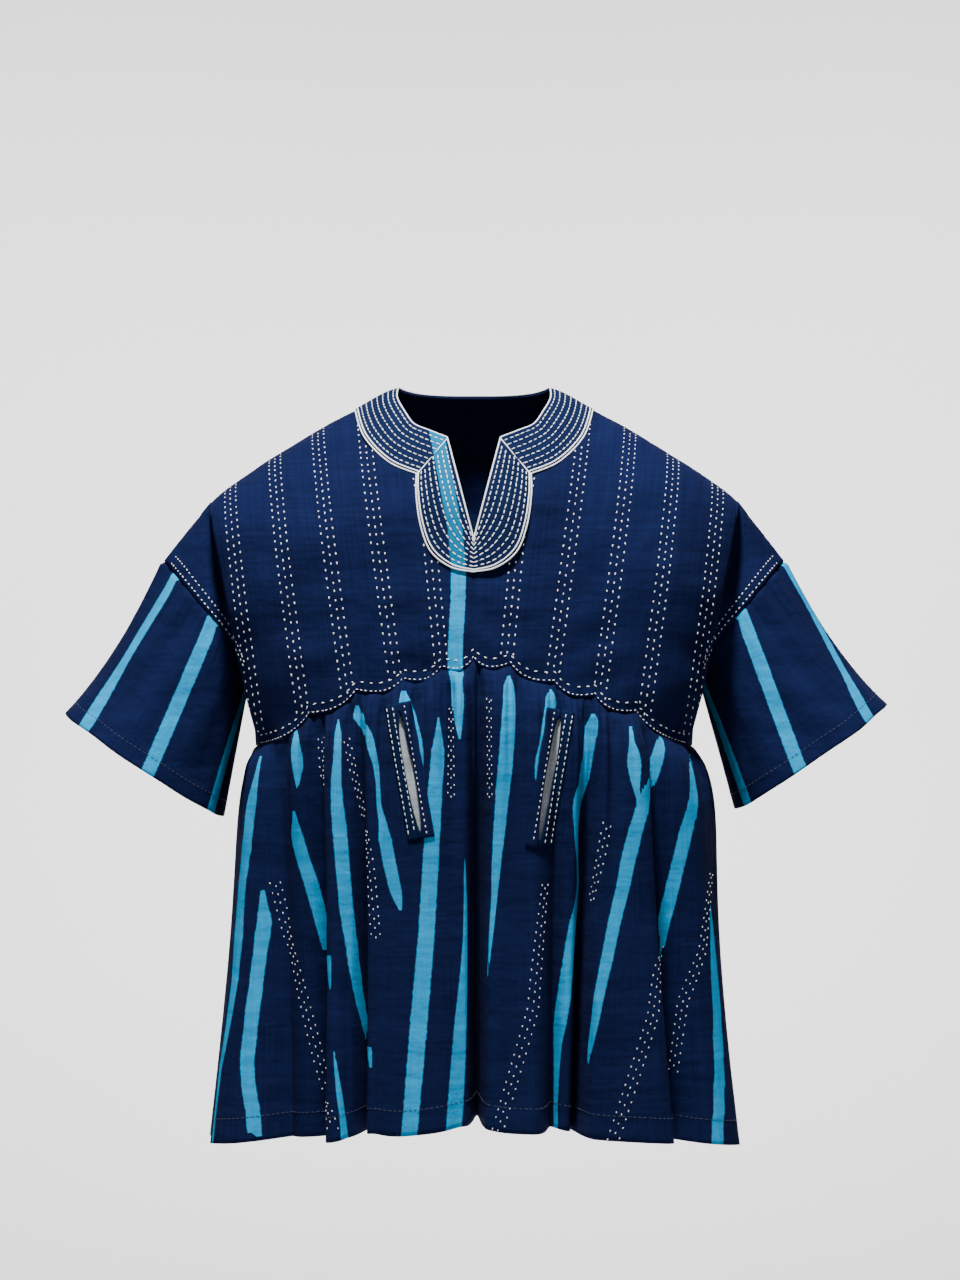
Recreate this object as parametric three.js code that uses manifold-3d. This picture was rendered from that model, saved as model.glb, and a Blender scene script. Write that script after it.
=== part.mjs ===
// A worn smock: a wide chest and back, short wide sleeves, a full skirt gathered to an arched
// seam, a neck opening with a short slit, two bands round it, and two slanted pockets.
// Sizes are millimetres. +Z is up, the front faces -Y, and +X is on the right of the front view.
// The origin lies midway between the two neck points, where the shoulders carry the smock.
import * as THREE from "three";
import { mergeVertices } from "three/addons/utils/BufferGeometryUtils.js";
import Module from "manifold-3d";

const wasm = await Module();
wasm.setup();

// Thicknesses and gaps
const CLOTH = 1.4;
const BAND = 1.3;
const LINING = 1.1;
const GAP = 0.3; // left between pieces that are sewn to each other
const CREASE = 0.6; // below this cosine a seam counts as creased, and each side keeps its own slant

// The shoulder line seen from the front, from the middle of the neck outwards
const SHOULDER_Y = 8;
const SHOULDER = [
  { across: 0, height: 1 },
  { across: 66, height: 0 },
  { across: 109, height: -19 },
  { across: 162, height: -48 },
  { across: 218, height: -83 },
  { across: 241, height: -101 },
  { across: 258, height: -121 },
  { across: 289, height: -160 },
];
const SHOULDER_FALL = 130; // height over which the cloth rounds from the shoulder to upright
const SHOULDER_ROUND = 2.2;
const NAPE_RISE = 20; // how far the back stands up behind the neck
const NAPE_HALF = 68;

// Sections of the chest and back: half width of the whole curve, and depths from the origin
const TORSO_ROUND = 2.8;
const TORSO = [
  { height: 0, half: 300, front: 62, back: 92 },
  { height: -50, half: 284, front: 88, back: 97 },
  { height: -109, half: 263, front: 112, back: 101 },
  { height: -160, half: 249, front: 124, back: 104 },
  { height: -216, half: 235, front: 135, back: 108 },
  { height: -281, half: 219, front: 141, back: 113 },
  { height: -332, half: 206, front: 142, back: 117 },
];

// The soft fold in front of and behind each arm, from the gather seam up to the shoulder
const FOLD = [
  { height: -330, across: 195 },
  { height: -281, across: 208 },
  { height: -216, across: 222 },
  { height: -160, across: 234 },
  { height: -105.5, across: 246 },
];
const FOLD_CROWDING = 1.7; // brings the grid lines closer together near the shoulder
const FOLD_DEPTH = 24; // how far the cloth dips behind the fold
const FOLD_DIP = { from: 16.4, to: 26 }; // grid columns between which it dips

// Armhole seam from the underarm up to the shoulder line
const ARMHOLE = [
  { across: 207, front: 0, back: 0, height: -264 },
  { across: 214, front: -25, back: 33, height: -250 },
  { across: 228, front: -38, back: 50, height: -228 },
  { across: 249, front: -35, back: 50, height: -204 },
  { across: 270, front: -22, back: 38, height: -180 },
  { across: 289, front: SHOULDER_Y, back: SHOULDER_Y, height: -160 },
];
const UNDERARM = { across: 207, height: -264 };
const SIDE_FOOT = { across: 203, height: -332 };

// Neck edge, slit edge and the outer edge of the bands on the front, right half
const SLIT_EDGE = [
  { across: 0, height: -144 },
  { across: 24, height: -51 },
];
const NECK_EDGE = [
  { across: 24, height: -51 },
  { across: 41, height: -44 },
  { across: 54, height: -38 },
  { across: 62, height: -27 },
  { across: 70, height: -12 },
  { across: 70, height: 0 },
];
const SLIT_BAND_EDGE = [
  { across: 0, height: -173 },
  { across: 20, height: -169 },
  { across: 38, height: -155 },
  { across: 47, height: -132 },
  { across: 51, height: -105 },
  { across: 51, height: -85 },
];
const NECK_BAND_EDGE = [
  { across: 51, height: -85 },
  { across: 76, height: -74 },
  { across: 99, height: -50 },
  { across: 110, height: -20 },
];
// The same two edges on the back, from the middle to the neck point
const NAPE_EDGE = [
  { across: 0, height: -4 },
  { across: 30, height: -4 },
  { across: 52, height: -3 },
  { across: 66, height: -1 },
  { across: 70, height: 0 },
];
const NAPE_BAND_EDGE = [
  { across: 0, height: -36 },
  { across: 35, height: -37 },
  { across: 70, height: -37 },
  { across: 98, height: -29 },
  { across: 110, height: -20 },
];

// Grid of the chest and back: columns run round from the bottom middle to the shoulder line
const BOTTOM_COLUMNS = 17;
const FOLD_COLUMNS = 9;
const COLUMNS = BOTTOM_COLUMNS + FOLD_COLUMNS;
const MITRE_COLUMN = 11; // where the two bands meet
const UNDERARM_COLUMN = 19;
const BAND_ROWS = 2;
const PANEL_ROWS = 8;
const CAP_ROWS = 4; // from the fold to the armhole seam
const CAP_SPREAD = 1.5;
const CAP_HOLLOW = 0.7;

// Gather seam: peaks of its scallops from the middle outwards, with the steps to each
const SEAM_MIDDLE = -250.5;
const SCALLOPS = {
  left: [
    { across: 29, height: -259, steps: 6 },
    { across: 63, height: -270, steps: 6 },
    { across: 105, height: -280, steps: 8 },
    { across: 147, height: -301, steps: 8 },
    { across: 195, height: -330, steps: 6 },
  ],
  right: [
    { across: 33, height: -256, steps: 6 },
    { across: 72, height: -272, steps: 6 },
    { across: 108, height: -284, steps: 8 },
    { across: 145, height: -299, steps: 8 },
    { across: 195, height: -330, steps: 6 },
  ],
};
const SCALLOP_DIP = 7;
const SCALLOP_LEAN = 0.75; // below 1 puts the dip nearer the inner peak
const BACK_ARCH = 0.85; // height of the arch on the back as a share of the front's

// Skirt: the ring of its hem, its folds there, and the gathers under the seam
const SKIRT_COLUMNS = 84;
const SKIRT_ROWS = 7;
const ROW_CROWDING = 1.25;
const HEM = { half: 243, front: 165, back: 142, round: 2.4, middle: -661, side: -692 };
// Each fold: its share of the skirt's width, where it reaches the hem, and how far out it stands
const HEM_FOLDS = {
  front: [
    { share: 0, across: -243, out: 2 },
    { share: 0.042, across: -236, out: -13 },
    { share: 0.084, across: -211, out: 18 },
    { share: 0.127, across: -177, out: -21 },
    { share: 0.156, across: -155, out: -13 },
    { share: 0.187, across: -132, out: -31 },
    { share: 0.232, across: -107, out: 20 },
    { share: 0.32, across: -88, out: -24 },
    { share: 0.43, across: -43, out: 28 },
    { share: 0.507, across: 3, out: -40 },
    { share: 0.586, across: 37, out: 27 },
    { share: 0.645, across: 69, out: -8 },
    { share: 0.684, across: 79, out: 2 },
    { share: 0.727, across: 93, out: -33 },
    { share: 0.8, across: 137, out: 27 },
    { share: 0.846, across: 179, out: -27 },
    { share: 0.888, across: 206, out: 20 },
    { share: 0.95, across: 237, out: -12 },
    { share: 1, across: 243, out: 2 },
  ],
  back: [
    { share: 0, across: -243, out: 2 },
    { share: 0.05, across: -235, out: -12 },
    { share: 0.105, across: -212, out: 17 },
    { share: 0.16, across: -180, out: -20 },
    { share: 0.225, across: -146, out: 21 },
    { share: 0.28, across: -106, out: -24 },
    { share: 0.35, across: -70, out: 23 },
    { share: 0.42, across: -32, out: -27 },
    { share: 0.5, across: 6, out: 22 },
    { share: 0.57, across: 44, out: -22 },
    { share: 0.645, across: 80, out: 25 },
    { share: 0.71, across: 118, out: -25 },
    { share: 0.775, across: 152, out: 19 },
    { share: 0.84, across: 186, out: -20 },
    { share: 0.9, across: 214, out: 17 },
    { share: 0.955, across: 236, out: -13 },
    { share: 1, across: 243, out: 2 },
  ],
};
const FOLD_BREADTH = 1.8; // over 1 rounds the tops and floors of the folds and steepens their sides
const FLUTE_GROWTH = 0.85;
const GATHERS = { count: 15.5, depth: 6, start: 0.045, end: 0.5 };
const SIDE_SHARE = 24; // gathers fade in over this part of the width, counted from a side seam
const PUFF = { left: 9, right: 14, peak: 0.15 };

// Sleeves: the two corners of each opening seen from the front, and its depth
const SLEEVE_ROWS = 7;
const SLEEVE_STEPS = 14; // from the shoulder line to the underarm, on each face
const CUFFS = {
  left: { outer: { across: 380, height: -301 }, inner: { across: 233, height: -398 } },
  right: { outer: { across: 384, height: -293 }, inner: { across: 243, height: -391 } },
};
const CUFF = { depth: 70, middle: 8, round: 2.3 };
const SLEEVE_SAG = 11;
const SLEEVE_GATHERS = { depth: 1.7, end: 0.4 };

// Pockets: both ends of each slanted mouth, seen from the front
const POCKETS = {
  left: { top: { across: -66, height: -296 }, foot: { across: -47, height: -402 } },
  right: { top: { across: 76, height: -302 }, foot: { across: 58, height: -410 } },
};
const MOUTH_HALF = 3.6;
const WELT_WIDTH = 12;
const POCKET_LINING = { inward: 16, outward: 34, over: 6, under: 40 };
const POCKET_RANGE = { from: -260, to: -60 }; // depth that the cuts pass through

const FRONT = { name: "front", outward: -1 };
const BACK = { name: "back", outward: 1 };
const LEFT = { name: "left", sign: -1 };
const RIGHT = { name: "right", sign: 1 };
const { clamp, lerp } = THREE.MathUtils;

// One column of a table, read on a smooth curve that never overshoots its rows
function read(table, key, column, at) {
  const last = table.length - 1;
  const rising = table[last][key] > table[0][key];
  let i = 0;
  while (i < last - 1 && rising === at > table[i + 1][key]) i++;
  const slope = (k) =>
    (table[k + 1][column] - table[k][column]) / (table[k + 1][key] - table[k][key]);
  const tangent = (k) => {
    if (k === 0) return slope(0);
    if (k === last) return slope(last - 1);
    const before = slope(k - 1);
    const after = slope(k);
    return before * after <= 0 ? 0 : (2 * before * after) / (before + after);
  };
  const width = table[i + 1][key] - table[i][key];
  const t = clamp((at - table[i][key]) / width, 0, 1);
  return (
    (1 + 2 * t) * (1 - t) ** 2 * table[i][column] +
    t * (1 - t) ** 2 * width * tangent(i) +
    t * t * (3 - 2 * t) * table[i + 1][column] +
    t * t * (t - 1) * width * tangent(i + 1)
  );
}

// Points of an edge given by across and height, evenly spaced along it
function edgeCurve(rows) {
  const curve = new THREE.SplineCurve(rows.map((r) => new THREE.Vector2(r.across, r.height)));
  return (share) => curve.getPointAt(clamp(share, 0, 1));
}

const slitEdge = edgeCurve(SLIT_EDGE);
const neckEdge = edgeCurve(NECK_EDGE);
const slitBandEdge = edgeCurve(SLIT_BAND_EDGE);
const neckBandEdge = edgeCurve(NECK_BAND_EDGE);
const napeEdge = edgeCurve(NAPE_EDGE);
const napeBandEdge = edgeCurve(NAPE_BAND_EDGE);

const shoulderHeight = (x) => read(SHOULDER, "across", "height", Math.abs(x));

// A point of the chest or back, given where it lies in the front view
function torsoPoint(face, x, z) {
  const wide = Math.min(Math.abs(x) / read(TORSO, "height", "half", z), 1);
  const depth = read(TORSO, "height", face.name, z) * (1 - wide ** TORSO_ROUND) ** (1 / TORSO_ROUND);
  const nape = face === BACK ? NAPE_RISE * Math.max(0, 1 - (x / NAPE_HALF) ** 2) : 0;
  const fall = clamp((shoulderHeight(x) + nape - z) / SHOULDER_FALL, 0, 1);
  const reach = Math.sqrt(1 - (1 - fall) ** SHOULDER_ROUND);
  return new THREE.Vector3(x, SHOULDER_Y + (face.outward * depth - SHOULDER_Y) * reach, z);
}

// Gather seam from the middle to the fold: the x and z of each half step
function seamSteps(face, side) {
  const steps = [{ across: 0, height: SEAM_MIDDLE }];
  for (const peak of SCALLOPS[side.name]) {
    const from = steps.at(-1);
    for (let i = 1; i <= peak.steps; i++) {
      const share = i / peak.steps;
      const dip = i < peak.steps ? SCALLOP_DIP * Math.sin(Math.PI * share ** SCALLOP_LEAN) : 0;
      steps.push({
        across: lerp(from.across, peak.across, share),
        height: lerp(from.height, peak.height, share) - dip,
      });
    }
  }
  if (face === FRONT) return steps;
  return steps.map(({ across, height }) => ({
    across,
    height: SIDE_FOOT.height + (height - SIDE_FOOT.height) * BACK_ARCH,
  }));
}

function armholePoint(face, side, share) {
  const rows = ARMHOLE.map((r) => new THREE.Vector3(side.sign * r.across, r[face.name], r.height));
  return new THREE.CatmullRomCurve3(rows).getPoint(clamp(share, 0, 1));
}

// The line of the fold beside the arm, by grid column
function foldPoint(face, side, column) {
  if (column <= BOTTOM_COLUMNS) {
    const foot = seamSteps(face, side).at(-1);
    return torsoPoint(face, side.sign * foot.across, foot.height);
  }
  const rise = (column - BOTTOM_COLUMNS) / FOLD_COLUMNS;
  const height = lerp(FOLD.at(-1).height, FOLD[0].height, (1 - rise) ** FOLD_CROWDING);
  const across = read(FOLD, "height", "across", height);
  const z = column === COLUMNS ? shoulderHeight(across) : height;
  return torsoPoint(face, side.sign * across, z);
}

// Side seam below the underarm, armhole seam above it
function capEdgePoint(face, side, column) {
  const rise = (column - UNDERARM_COLUMN) / (COLUMNS - UNDERARM_COLUMN);
  if (rise >= 0) return armholePoint(face, side, rise);
  const share = (column - BOTTOM_COLUMNS) / (UNDERARM_COLUMN - BOTTOM_COLUMNS);
  return new THREE.Vector3(
    side.sign * lerp(SIDE_FOOT.across, UNDERARM.across, share),
    0,
    lerp(SIDE_FOOT.height, UNDERARM.height, share),
  );
}

// The strip between the fold and the armhole: it dips behind the fold and comes out again
function capPoint(face, side, column, row) {
  const share = row / CAP_ROWS;
  const point = foldPoint(face, side, column);
  point.lerp(capEdgePoint(face, side, column), share ** CAP_SPREAD);
  if (column === COLUMNS) {
    point.z = shoulderHeight(point.x);
    return point;
  }
  const along = (column - FOLD_DIP.from) / (FOLD_DIP.to - FOLD_DIP.from);
  const dip = FOLD_DEPTH * Math.sin(Math.PI * along) * Math.sin(Math.PI * share ** CAP_HOLLOW);
  const inward = new THREE.Vector3(-side.sign, -face.outward, 0).normalize();
  return point.addScaledVector(inward, row === 0 || row === CAP_ROWS ? 0 : dip);
}

// The whole gather seam of one face, from the left side seam to the right one
function seamLine(face) {
  const half = (side) => {
    const points = seamSteps(face, side).map((s) => torsoPoint(face, side.sign * s.across, s.height));
    for (let step = 1; step <= 2 * CAP_ROWS; step++) {
      points.push(capPoint(face, side, BOTTOM_COLUMNS, step / 2));
    }
    return points;
  };
  return [...half(LEFT).reverse(), ...half(RIGHT).slice(1)];
}

// A sheet of cloth as points and triangles; points that fall on one place are one point
class Sheet {
  constructor() {
    this.points = [];
    this.triangles = [];
    this.places = new Map();
  }

  static place(p) {
    return [p.x, p.y, p.z].map((v) => Math.round(v * 1000) + 0).join(" ");
  }

  index(p) {
    const place = Sheet.place(p);
    if (!this.places.has(place)) {
      this.places.set(place, this.points.length);
      this.points.push(p.clone());
    }
    return this.places.get(place);
  }

  // Corners run counter-clockwise seen from outside, or the other way round when turned
  face(corners, turned = false) {
    const ids = corners.map((p) => this.index(p));
    if (turned) ids.reverse();
    for (let i = 1; i + 1 < ids.length; i++) {
      const triangle = [ids[0], ids[i], ids[i + 1]];
      if (new Set(triangle).size === 3) this.triangles.push(triangle);
    }
  }

  grid(rows, turned = false) {
    for (let a = 0; a + 1 < rows.length; a++) {
      for (let b = 0; b + 1 < rows[a].length; b++) {
        this.face([rows[a][b], rows[a + 1][b], rows[a + 1][b + 1], rows[a][b + 1]], turned);
      }
    }
  }

  normal([a, b, c]) {
    const ab = this.points[b].clone().sub(this.points[a]);
    return ab.cross(this.points[c].clone().sub(this.points[a]));
  }

  // Edges that only one triangle has, in the direction in which it runs round its face
  rim() {
    const open = new Map();
    for (const t of this.triangles) {
      for (let i = 0; i < 3; i++) {
        const [from, to] = [t[i], t[(i + 1) % 3]];
        if (!open.delete(`${to} ${from}`)) open.set(`${from} ${to}`, [from, to]);
      }
    }
    return [...open.values()];
  }
}

// Rows of one half of the chest or back, from the neck edge out to the seam and the fold
function halfPanel(face, side) {
  const seam = seamSteps(face, side);
  const edges = (column) => {
    if (face === BACK) return [napeEdge(column / COLUMNS), napeBandEdge(column / COLUMNS)];
    const slit = column / MITRE_COLUMN;
    const neck = (column - MITRE_COLUMN) / (COLUMNS - MITRE_COLUMN);
    return column <= MITRE_COLUMN
      ? [slitEdge(slit), slitBandEdge(slit)]
      : [neckEdge(neck), neckBandEdge(neck)];
  };
  const outerEnd = (column) => {
    if (column <= BOTTOM_COLUMNS) {
      return new THREE.Vector2(seam[2 * column].across, seam[2 * column].height);
    }
    const fold = foldPoint(face, RIGHT, column);
    return new THREE.Vector2(fold.x, fold.z);
  };
  const place = (row, column) => {
    const [inner, middle] = edges(column);
    return row <= BAND_ROWS
      ? inner.lerp(middle, row / BAND_ROWS)
      : middle.lerp(outerEnd(column), (row - BAND_ROWS) / (PANEL_ROWS - BAND_ROWS));
  };
  const rows = [];
  for (let row = 0; row <= PANEL_ROWS; row++) {
    const shoulder = place(row, COLUMNS);
    const lift = shoulderHeight(shoulder.x) - shoulder.y;
    rows.push([]);
    for (let column = 0; column <= COLUMNS; column++) {
      const { x, y } = place(row, column);
      const near = Math.max(0, (column - MITRE_COLUMN) / (COLUMNS - MITRE_COLUMN));
      const lifted = row === PANEL_ROWS || row === 0 ? 0 : lift * near ** 2;
      rows[row].push(torsoPoint(face, side.sign * x, y + lifted));
    }
  }
  return rows;
}

// Chest or back: two halves that meet in the middle, each with its strip beside the arm
function bodice(face) {
  const sheet = new Sheet();
  const seam = seamLine(face);
  const middle = (seam.length - 1) / 2;
  for (const side of [LEFT, RIGHT]) {
    const turned = (side === LEFT) !== (face === BACK);
    const seamPoint = (step) => seam[middle + side.sign * step];
    const rows = halfPanel(face, side);
    const cap = [];
    for (let row = 0; row <= CAP_ROWS; row++) {
      cap.push([]);
      for (let column = BOTTOM_COLUMNS; column <= COLUMNS; column++) {
        cap[row].push(capPoint(face, side, column, row));
      }
    }
    for (let row = 0; row < PANEL_ROWS; row++) {
      for (let i = 0; i < COLUMNS; i++) {
        const corners = [rows[row][i], rows[row + 1][i], rows[row + 1][i + 1], rows[row][i + 1]];
        if (row === PANEL_ROWS - 1 && i < BOTTOM_COLUMNS) corners.splice(2, 0, seamPoint(2 * i + 1));
        sheet.face(corners, turned);
      }
    }
    for (let row = 0; row < CAP_ROWS; row++) {
      for (let i = 0; i < FOLD_COLUMNS; i++) {
        const corners = [cap[row][i], cap[row + 1][i], cap[row + 1][i + 1], cap[row][i + 1]];
        if (i === 0) corners.splice(1, 0, seamPoint(2 * (BOTTOM_COLUMNS + row) + 1));
        const column = BOTTOM_COLUMNS + i;
        if (row === CAP_ROWS - 1 && column >= UNDERARM_COLUMN) {
          corners.splice(2, 0, capEdgePoint(face, side, column + 0.5));
        }
        sheet.face(corners, turned);
      }
    }
  }
  return sheet;
}

// The hem ring as an angle from the middle: its point, and the way out of it there
function hemRing(face, angle) {
  const depth = HEM[face.name];
  const s = Math.sin(angle) / HEM.half;
  const c = Math.cos(angle) / depth;
  const radius = (Math.abs(s) ** HEM.round + Math.abs(c) ** HEM.round) ** (-1 / HEM.round);
  const out = new THREE.Vector3(
    Math.sign(s) * Math.abs(s) ** (HEM.round - 1) / HEM.half,
    (face.outward * Math.abs(c) ** (HEM.round - 1)) / depth,
    0,
  ).normalize();
  const at = new THREE.Vector3(radius * Math.sin(angle), face.outward * radius * Math.cos(angle), 0);
  return { at, out };
}

// The angle at which the hem ring has the given x
function hemAngle(face, x) {
  let [low, high] = [-Math.PI / 2, Math.PI / 2];
  for (let i = 0; i < 40; i++) {
    const middle = (low + high) / 2;
    if (hemRing(face, middle).at.x < x) low = middle;
    else high = middle;
  }
  return (low + high) / 2;
}

// Where a share of the skirt's width lies in the hem: the angle, and how far out its fold stands
function hemFold(face, share) {
  const rows = HEM_FOLDS[face.name];
  let i = 0;
  while (i < rows.length - 2 && share > rows[i + 1].share) i++;
  const t = (share - rows[i].share) / (rows[i + 1].share - rows[i].share);
  const eased =
    t * t * (3 - 2 * t) + FOLD_BREADTH * t * (1 - t) ** 2 + FOLD_BREADTH * t * t * (t - 1);
  const angle = lerp(hemAngle(face, rows[i].across), hemAngle(face, rows[i + 1].across), eased);
  const out = lerp(rows[i].out, rows[i + 1].out, (1 - Math.cos(Math.PI * t)) / 2);
  return { angle, out };
}

// A point of the skirt: column from the left side seam to the right, fall from seam to hem
function skirtPoint(face, seam, column, fall) {
  const share = column / SKIRT_COLUMNS;
  const top = seam[column];
  if (fall === 0) return top.clone();
  const fold = hemFold(face, share);
  const ring = hemRing(face, fold.angle);
  const swell = Math.min(fall / GATHERS.start, 1) * Math.max(0, 1 - fall / GATHERS.end) ** 2;
  const gather = -GATHERS.depth * Math.cos(2 * Math.PI * GATHERS.count * share) * swell;
  const fromSide = Math.min(share, 1 - share) * SIDE_SHARE;
  const edge = Math.sin((Math.PI / 2) * Math.min(fromSide, 1));
  const puff = share < 0.5 ? PUFF.left : PUFF.right;
  const bulge = puff * (fall / PUFF.peak) * Math.exp(1 - fall / PUFF.peak);
  const point = top.clone().lerp(ring.at, fall);
  point.addScaledVector(ring.out, bulge + gather * edge + fold.out * fall ** FLUTE_GROWTH);
  const hem = lerp(HEM.side, HEM.middle, Math.cos(fold.angle) ** 2);
  point.z = lerp(top.z, hem, fall);
  if (column === 0 || column === SKIRT_COLUMNS) point.y = lerp(top.y, 0, fall);
  return point;
}

function skirt(face) {
  const sheet = new Sheet();
  const seam = seamLine(face);
  const rows = [];
  for (let row = 0; row <= SKIRT_ROWS; row++) {
    const fall = (row / SKIRT_ROWS) ** ROW_CROWDING;
    rows.push([]);
    for (let column = 0; column <= SKIRT_COLUMNS; column++) {
      rows[row].push(skirtPoint(face, seam, column, fall));
    }
  }
  sheet.grid(rows, face === BACK);
  return sheet;
}

// Sleeve: a tube from the armhole seam to its opening, a little gathered at its head
function sleeve(side) {
  const { outer, inner } = CUFFS[side.name];
  const corner = (p) => new THREE.Vector3(side.sign * p.across, CUFF.middle, p.height);
  const middle = corner(outer).add(corner(inner)).multiplyScalar(0.5);
  const reach = corner(outer).sub(middle);
  const power = 2 / CUFF.round;
  const cuffPoint = (face, turn) => {
    const c = Math.cos(turn);
    const along = Math.sign(c) * Math.abs(c) ** power;
    const depth = face.outward * CUFF.depth * Math.abs(Math.sin(turn)) ** power;
    return middle.clone().addScaledVector(reach, along).add(new THREE.Vector3(0, depth, 0));
  };
  const line = (face, step) => {
    const share = step / SLEEVE_STEPS;
    const seam = armholePoint(face, side, 1 - share);
    const cuff = cuffPoint(face, Math.PI * share);
    const turn = Math.PI * share;
    const out = new THREE.Vector3(side.sign * Math.cos(turn), face.outward * Math.sin(turn), 0);
    const head = Math.cos(turn / 2) ** 2; // 1 at the shoulder line, 0 at the underarm
    const points = [];
    for (let row = 0; row <= SLEEVE_ROWS; row++) {
      const fall = row / SLEEVE_ROWS;
      const sag = SLEEVE_SAG * 4 * fall * (1 - fall) * head;
      const swell = fall > 0 ? Math.max(0, 1 - fall / SLEEVE_GATHERS.end) * head : 0;
      const gather = SLEEVE_GATHERS.depth * Math.cos(Math.PI * step) * swell;
      const point = seam.clone().lerp(cuff, fall).addScaledVector(out, gather);
      point.z -= sag;
      points.push(point);
    }
    return points;
  };
  const lines = [];
  for (let step = 0; step <= SLEEVE_STEPS; step++) lines.push(line(FRONT, step));
  for (let step = SLEEVE_STEPS - 1; step >= 0; step--) lines.push(line(BACK, step));
  const sheet = new Sheet();
  sheet.grid(lines, side === LEFT);
  return sheet;
}

// The bands are cut from the chest and back's own points
function neckBand() {
  const sheet = new Sheet();
  for (const face of [FRONT, BACK]) {
    for (const side of [LEFT, RIGHT]) {
      const first = face === FRONT ? MITRE_COLUMN : 0;
      const rows = halfPanel(face, side).slice(0, BAND_ROWS + 1);
      sheet.grid(rows.map((row) => row.slice(first)), (side === LEFT) !== (face === BACK));
    }
  }
  return sheet;
}

function slitBand() {
  const sheet = new Sheet();
  for (const side of [LEFT, RIGHT]) {
    const rows = halfPanel(FRONT, side).slice(0, BAND_ROWS + 1);
    sheet.grid(rows.map((row) => row.slice(0, MITRE_COLUMN + 1)), side === LEFT);
  }
  return sheet;
}

// Directions out of the cloth at every place, shared by all sheets that meet there
function outwardAt(sheets) {
  const sums = new Map();
  for (const sheet of sheets) {
    for (const triangle of sheet.triangles) {
      const normal = sheet.normal(triangle);
      for (const i of triangle) {
        const place = Sheet.place(sheet.points[i]);
        if (!sums.has(place)) sums.set(place, new THREE.Vector3());
        sums.get(place).add(normal);
      }
    }
  }
  for (const sum of sums.values()) sum.normalize();
  return (point) => sums.get(Sheet.place(point));
}

// How far each point of a sheet draws back from the seams that it shares with other sheets
function seamRelief(sheet, others, outward) {
  const name = (owner, [a, b]) =>
    [Sheet.place(owner.points[a]), Sheet.place(owner.points[b])].sort().join(" / ");
  const shared = new Set(others.flatMap((other) => other.rim().map((edge) => name(other, edge))));
  const pulls = new Map();
  for (const edge of sheet.rim()) {
    if (!shared.has(name(sheet, edge))) continue;
    const [from, to] = edge.map((i) => sheet.points[i]);
    const along = to.clone().sub(from);
    const inward = outward(from).clone().add(outward(to)).cross(along).normalize();
    for (const i of edge) pulls.set(i, [...(pulls.get(i) ?? []), inward]);
  }
  return (i) => {
    const [first, second] = pulls.get(i) ?? [];
    if (!first) return new THREE.Vector3();
    if (!second) return first.clone().multiplyScalar(GAP / 2);
    const spread = Math.max(1 + first.dot(second), 0.4);
    return first.clone().add(second).multiplyScalar(GAP / 2 / spread);
  };
}

// A closed wall of cloth on a sheet, between two distances out from it. Neighbours are the other
// sheets that run smoothly on from it, unlike those sewn on at a crease such as the underarm.
function wall(sheet, { from, to }, outward, others = [], neighbours = others) {
  const relief = seamRelief(sheet, others, outward);
  const smooth = outwardAt([sheet, ...neighbours]);
  const count = sheet.points.length;
  const corners = [];
  for (const distance of [to, from]) {
    sheet.points.forEach((point, i) => {
      const shared = outward(point);
      const own = smooth(point);
      const way = others.length && own.dot(shared) < CREASE ? own : shared;
      corners.push(point.clone().add(relief(i)).addScaledVector(way, distance));
    });
  }
  const index = [];
  for (const [a, b, c] of sheet.triangles) {
    index.push(a, b, c, c + count, b + count, a + count);
  }
  for (const [a, b] of sheet.rim()) {
    index.push(b, a, a + count, b, a + count, b + count);
  }
  const geometry = new THREE.BufferGeometry().setFromPoints(corners);
  geometry.setIndex(index);
  return geometry;
}

// Joins and cuts go through closed solids
function solidOf(geometry) {
  const plain = geometry.clone();
  for (const name of Object.keys(plain.attributes)) {
    if (name !== "position") plain.deleteAttribute(name);
  }
  const merged = mergeVertices(plain, 1e-4);
  return new wasm.Manifold(
    new wasm.Mesh({
      numProp: 3,
      vertProperties: merged.attributes.position.array,
      triVerts: new Uint32Array(merged.index.array),
    }),
  );
}

function geometryOf(solid) {
  const { vertProperties, triVerts } = solid.getMesh();
  const geometry = new THREE.BufferGeometry();
  geometry.setAttribute("position", new THREE.BufferAttribute(new Float32Array(vertProperties), 3));
  geometry.setIndex(new THREE.BufferAttribute(new Uint32Array(triVerts), 1));
  return geometry;
}

// An outline in the front view, pushed through the front of the skirt
function cutter(outline) {
  const depth = POCKET_RANGE.to - POCKET_RANGE.from;
  const geometry = new THREE.ExtrudeGeometry(new THREE.Shape(outline), { depth, bevelEnabled: false });
  geometry.rotateX(Math.PI / 2).translate(0, POCKET_RANGE.to, 0);
  return solidOf(geometry);
}

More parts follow.
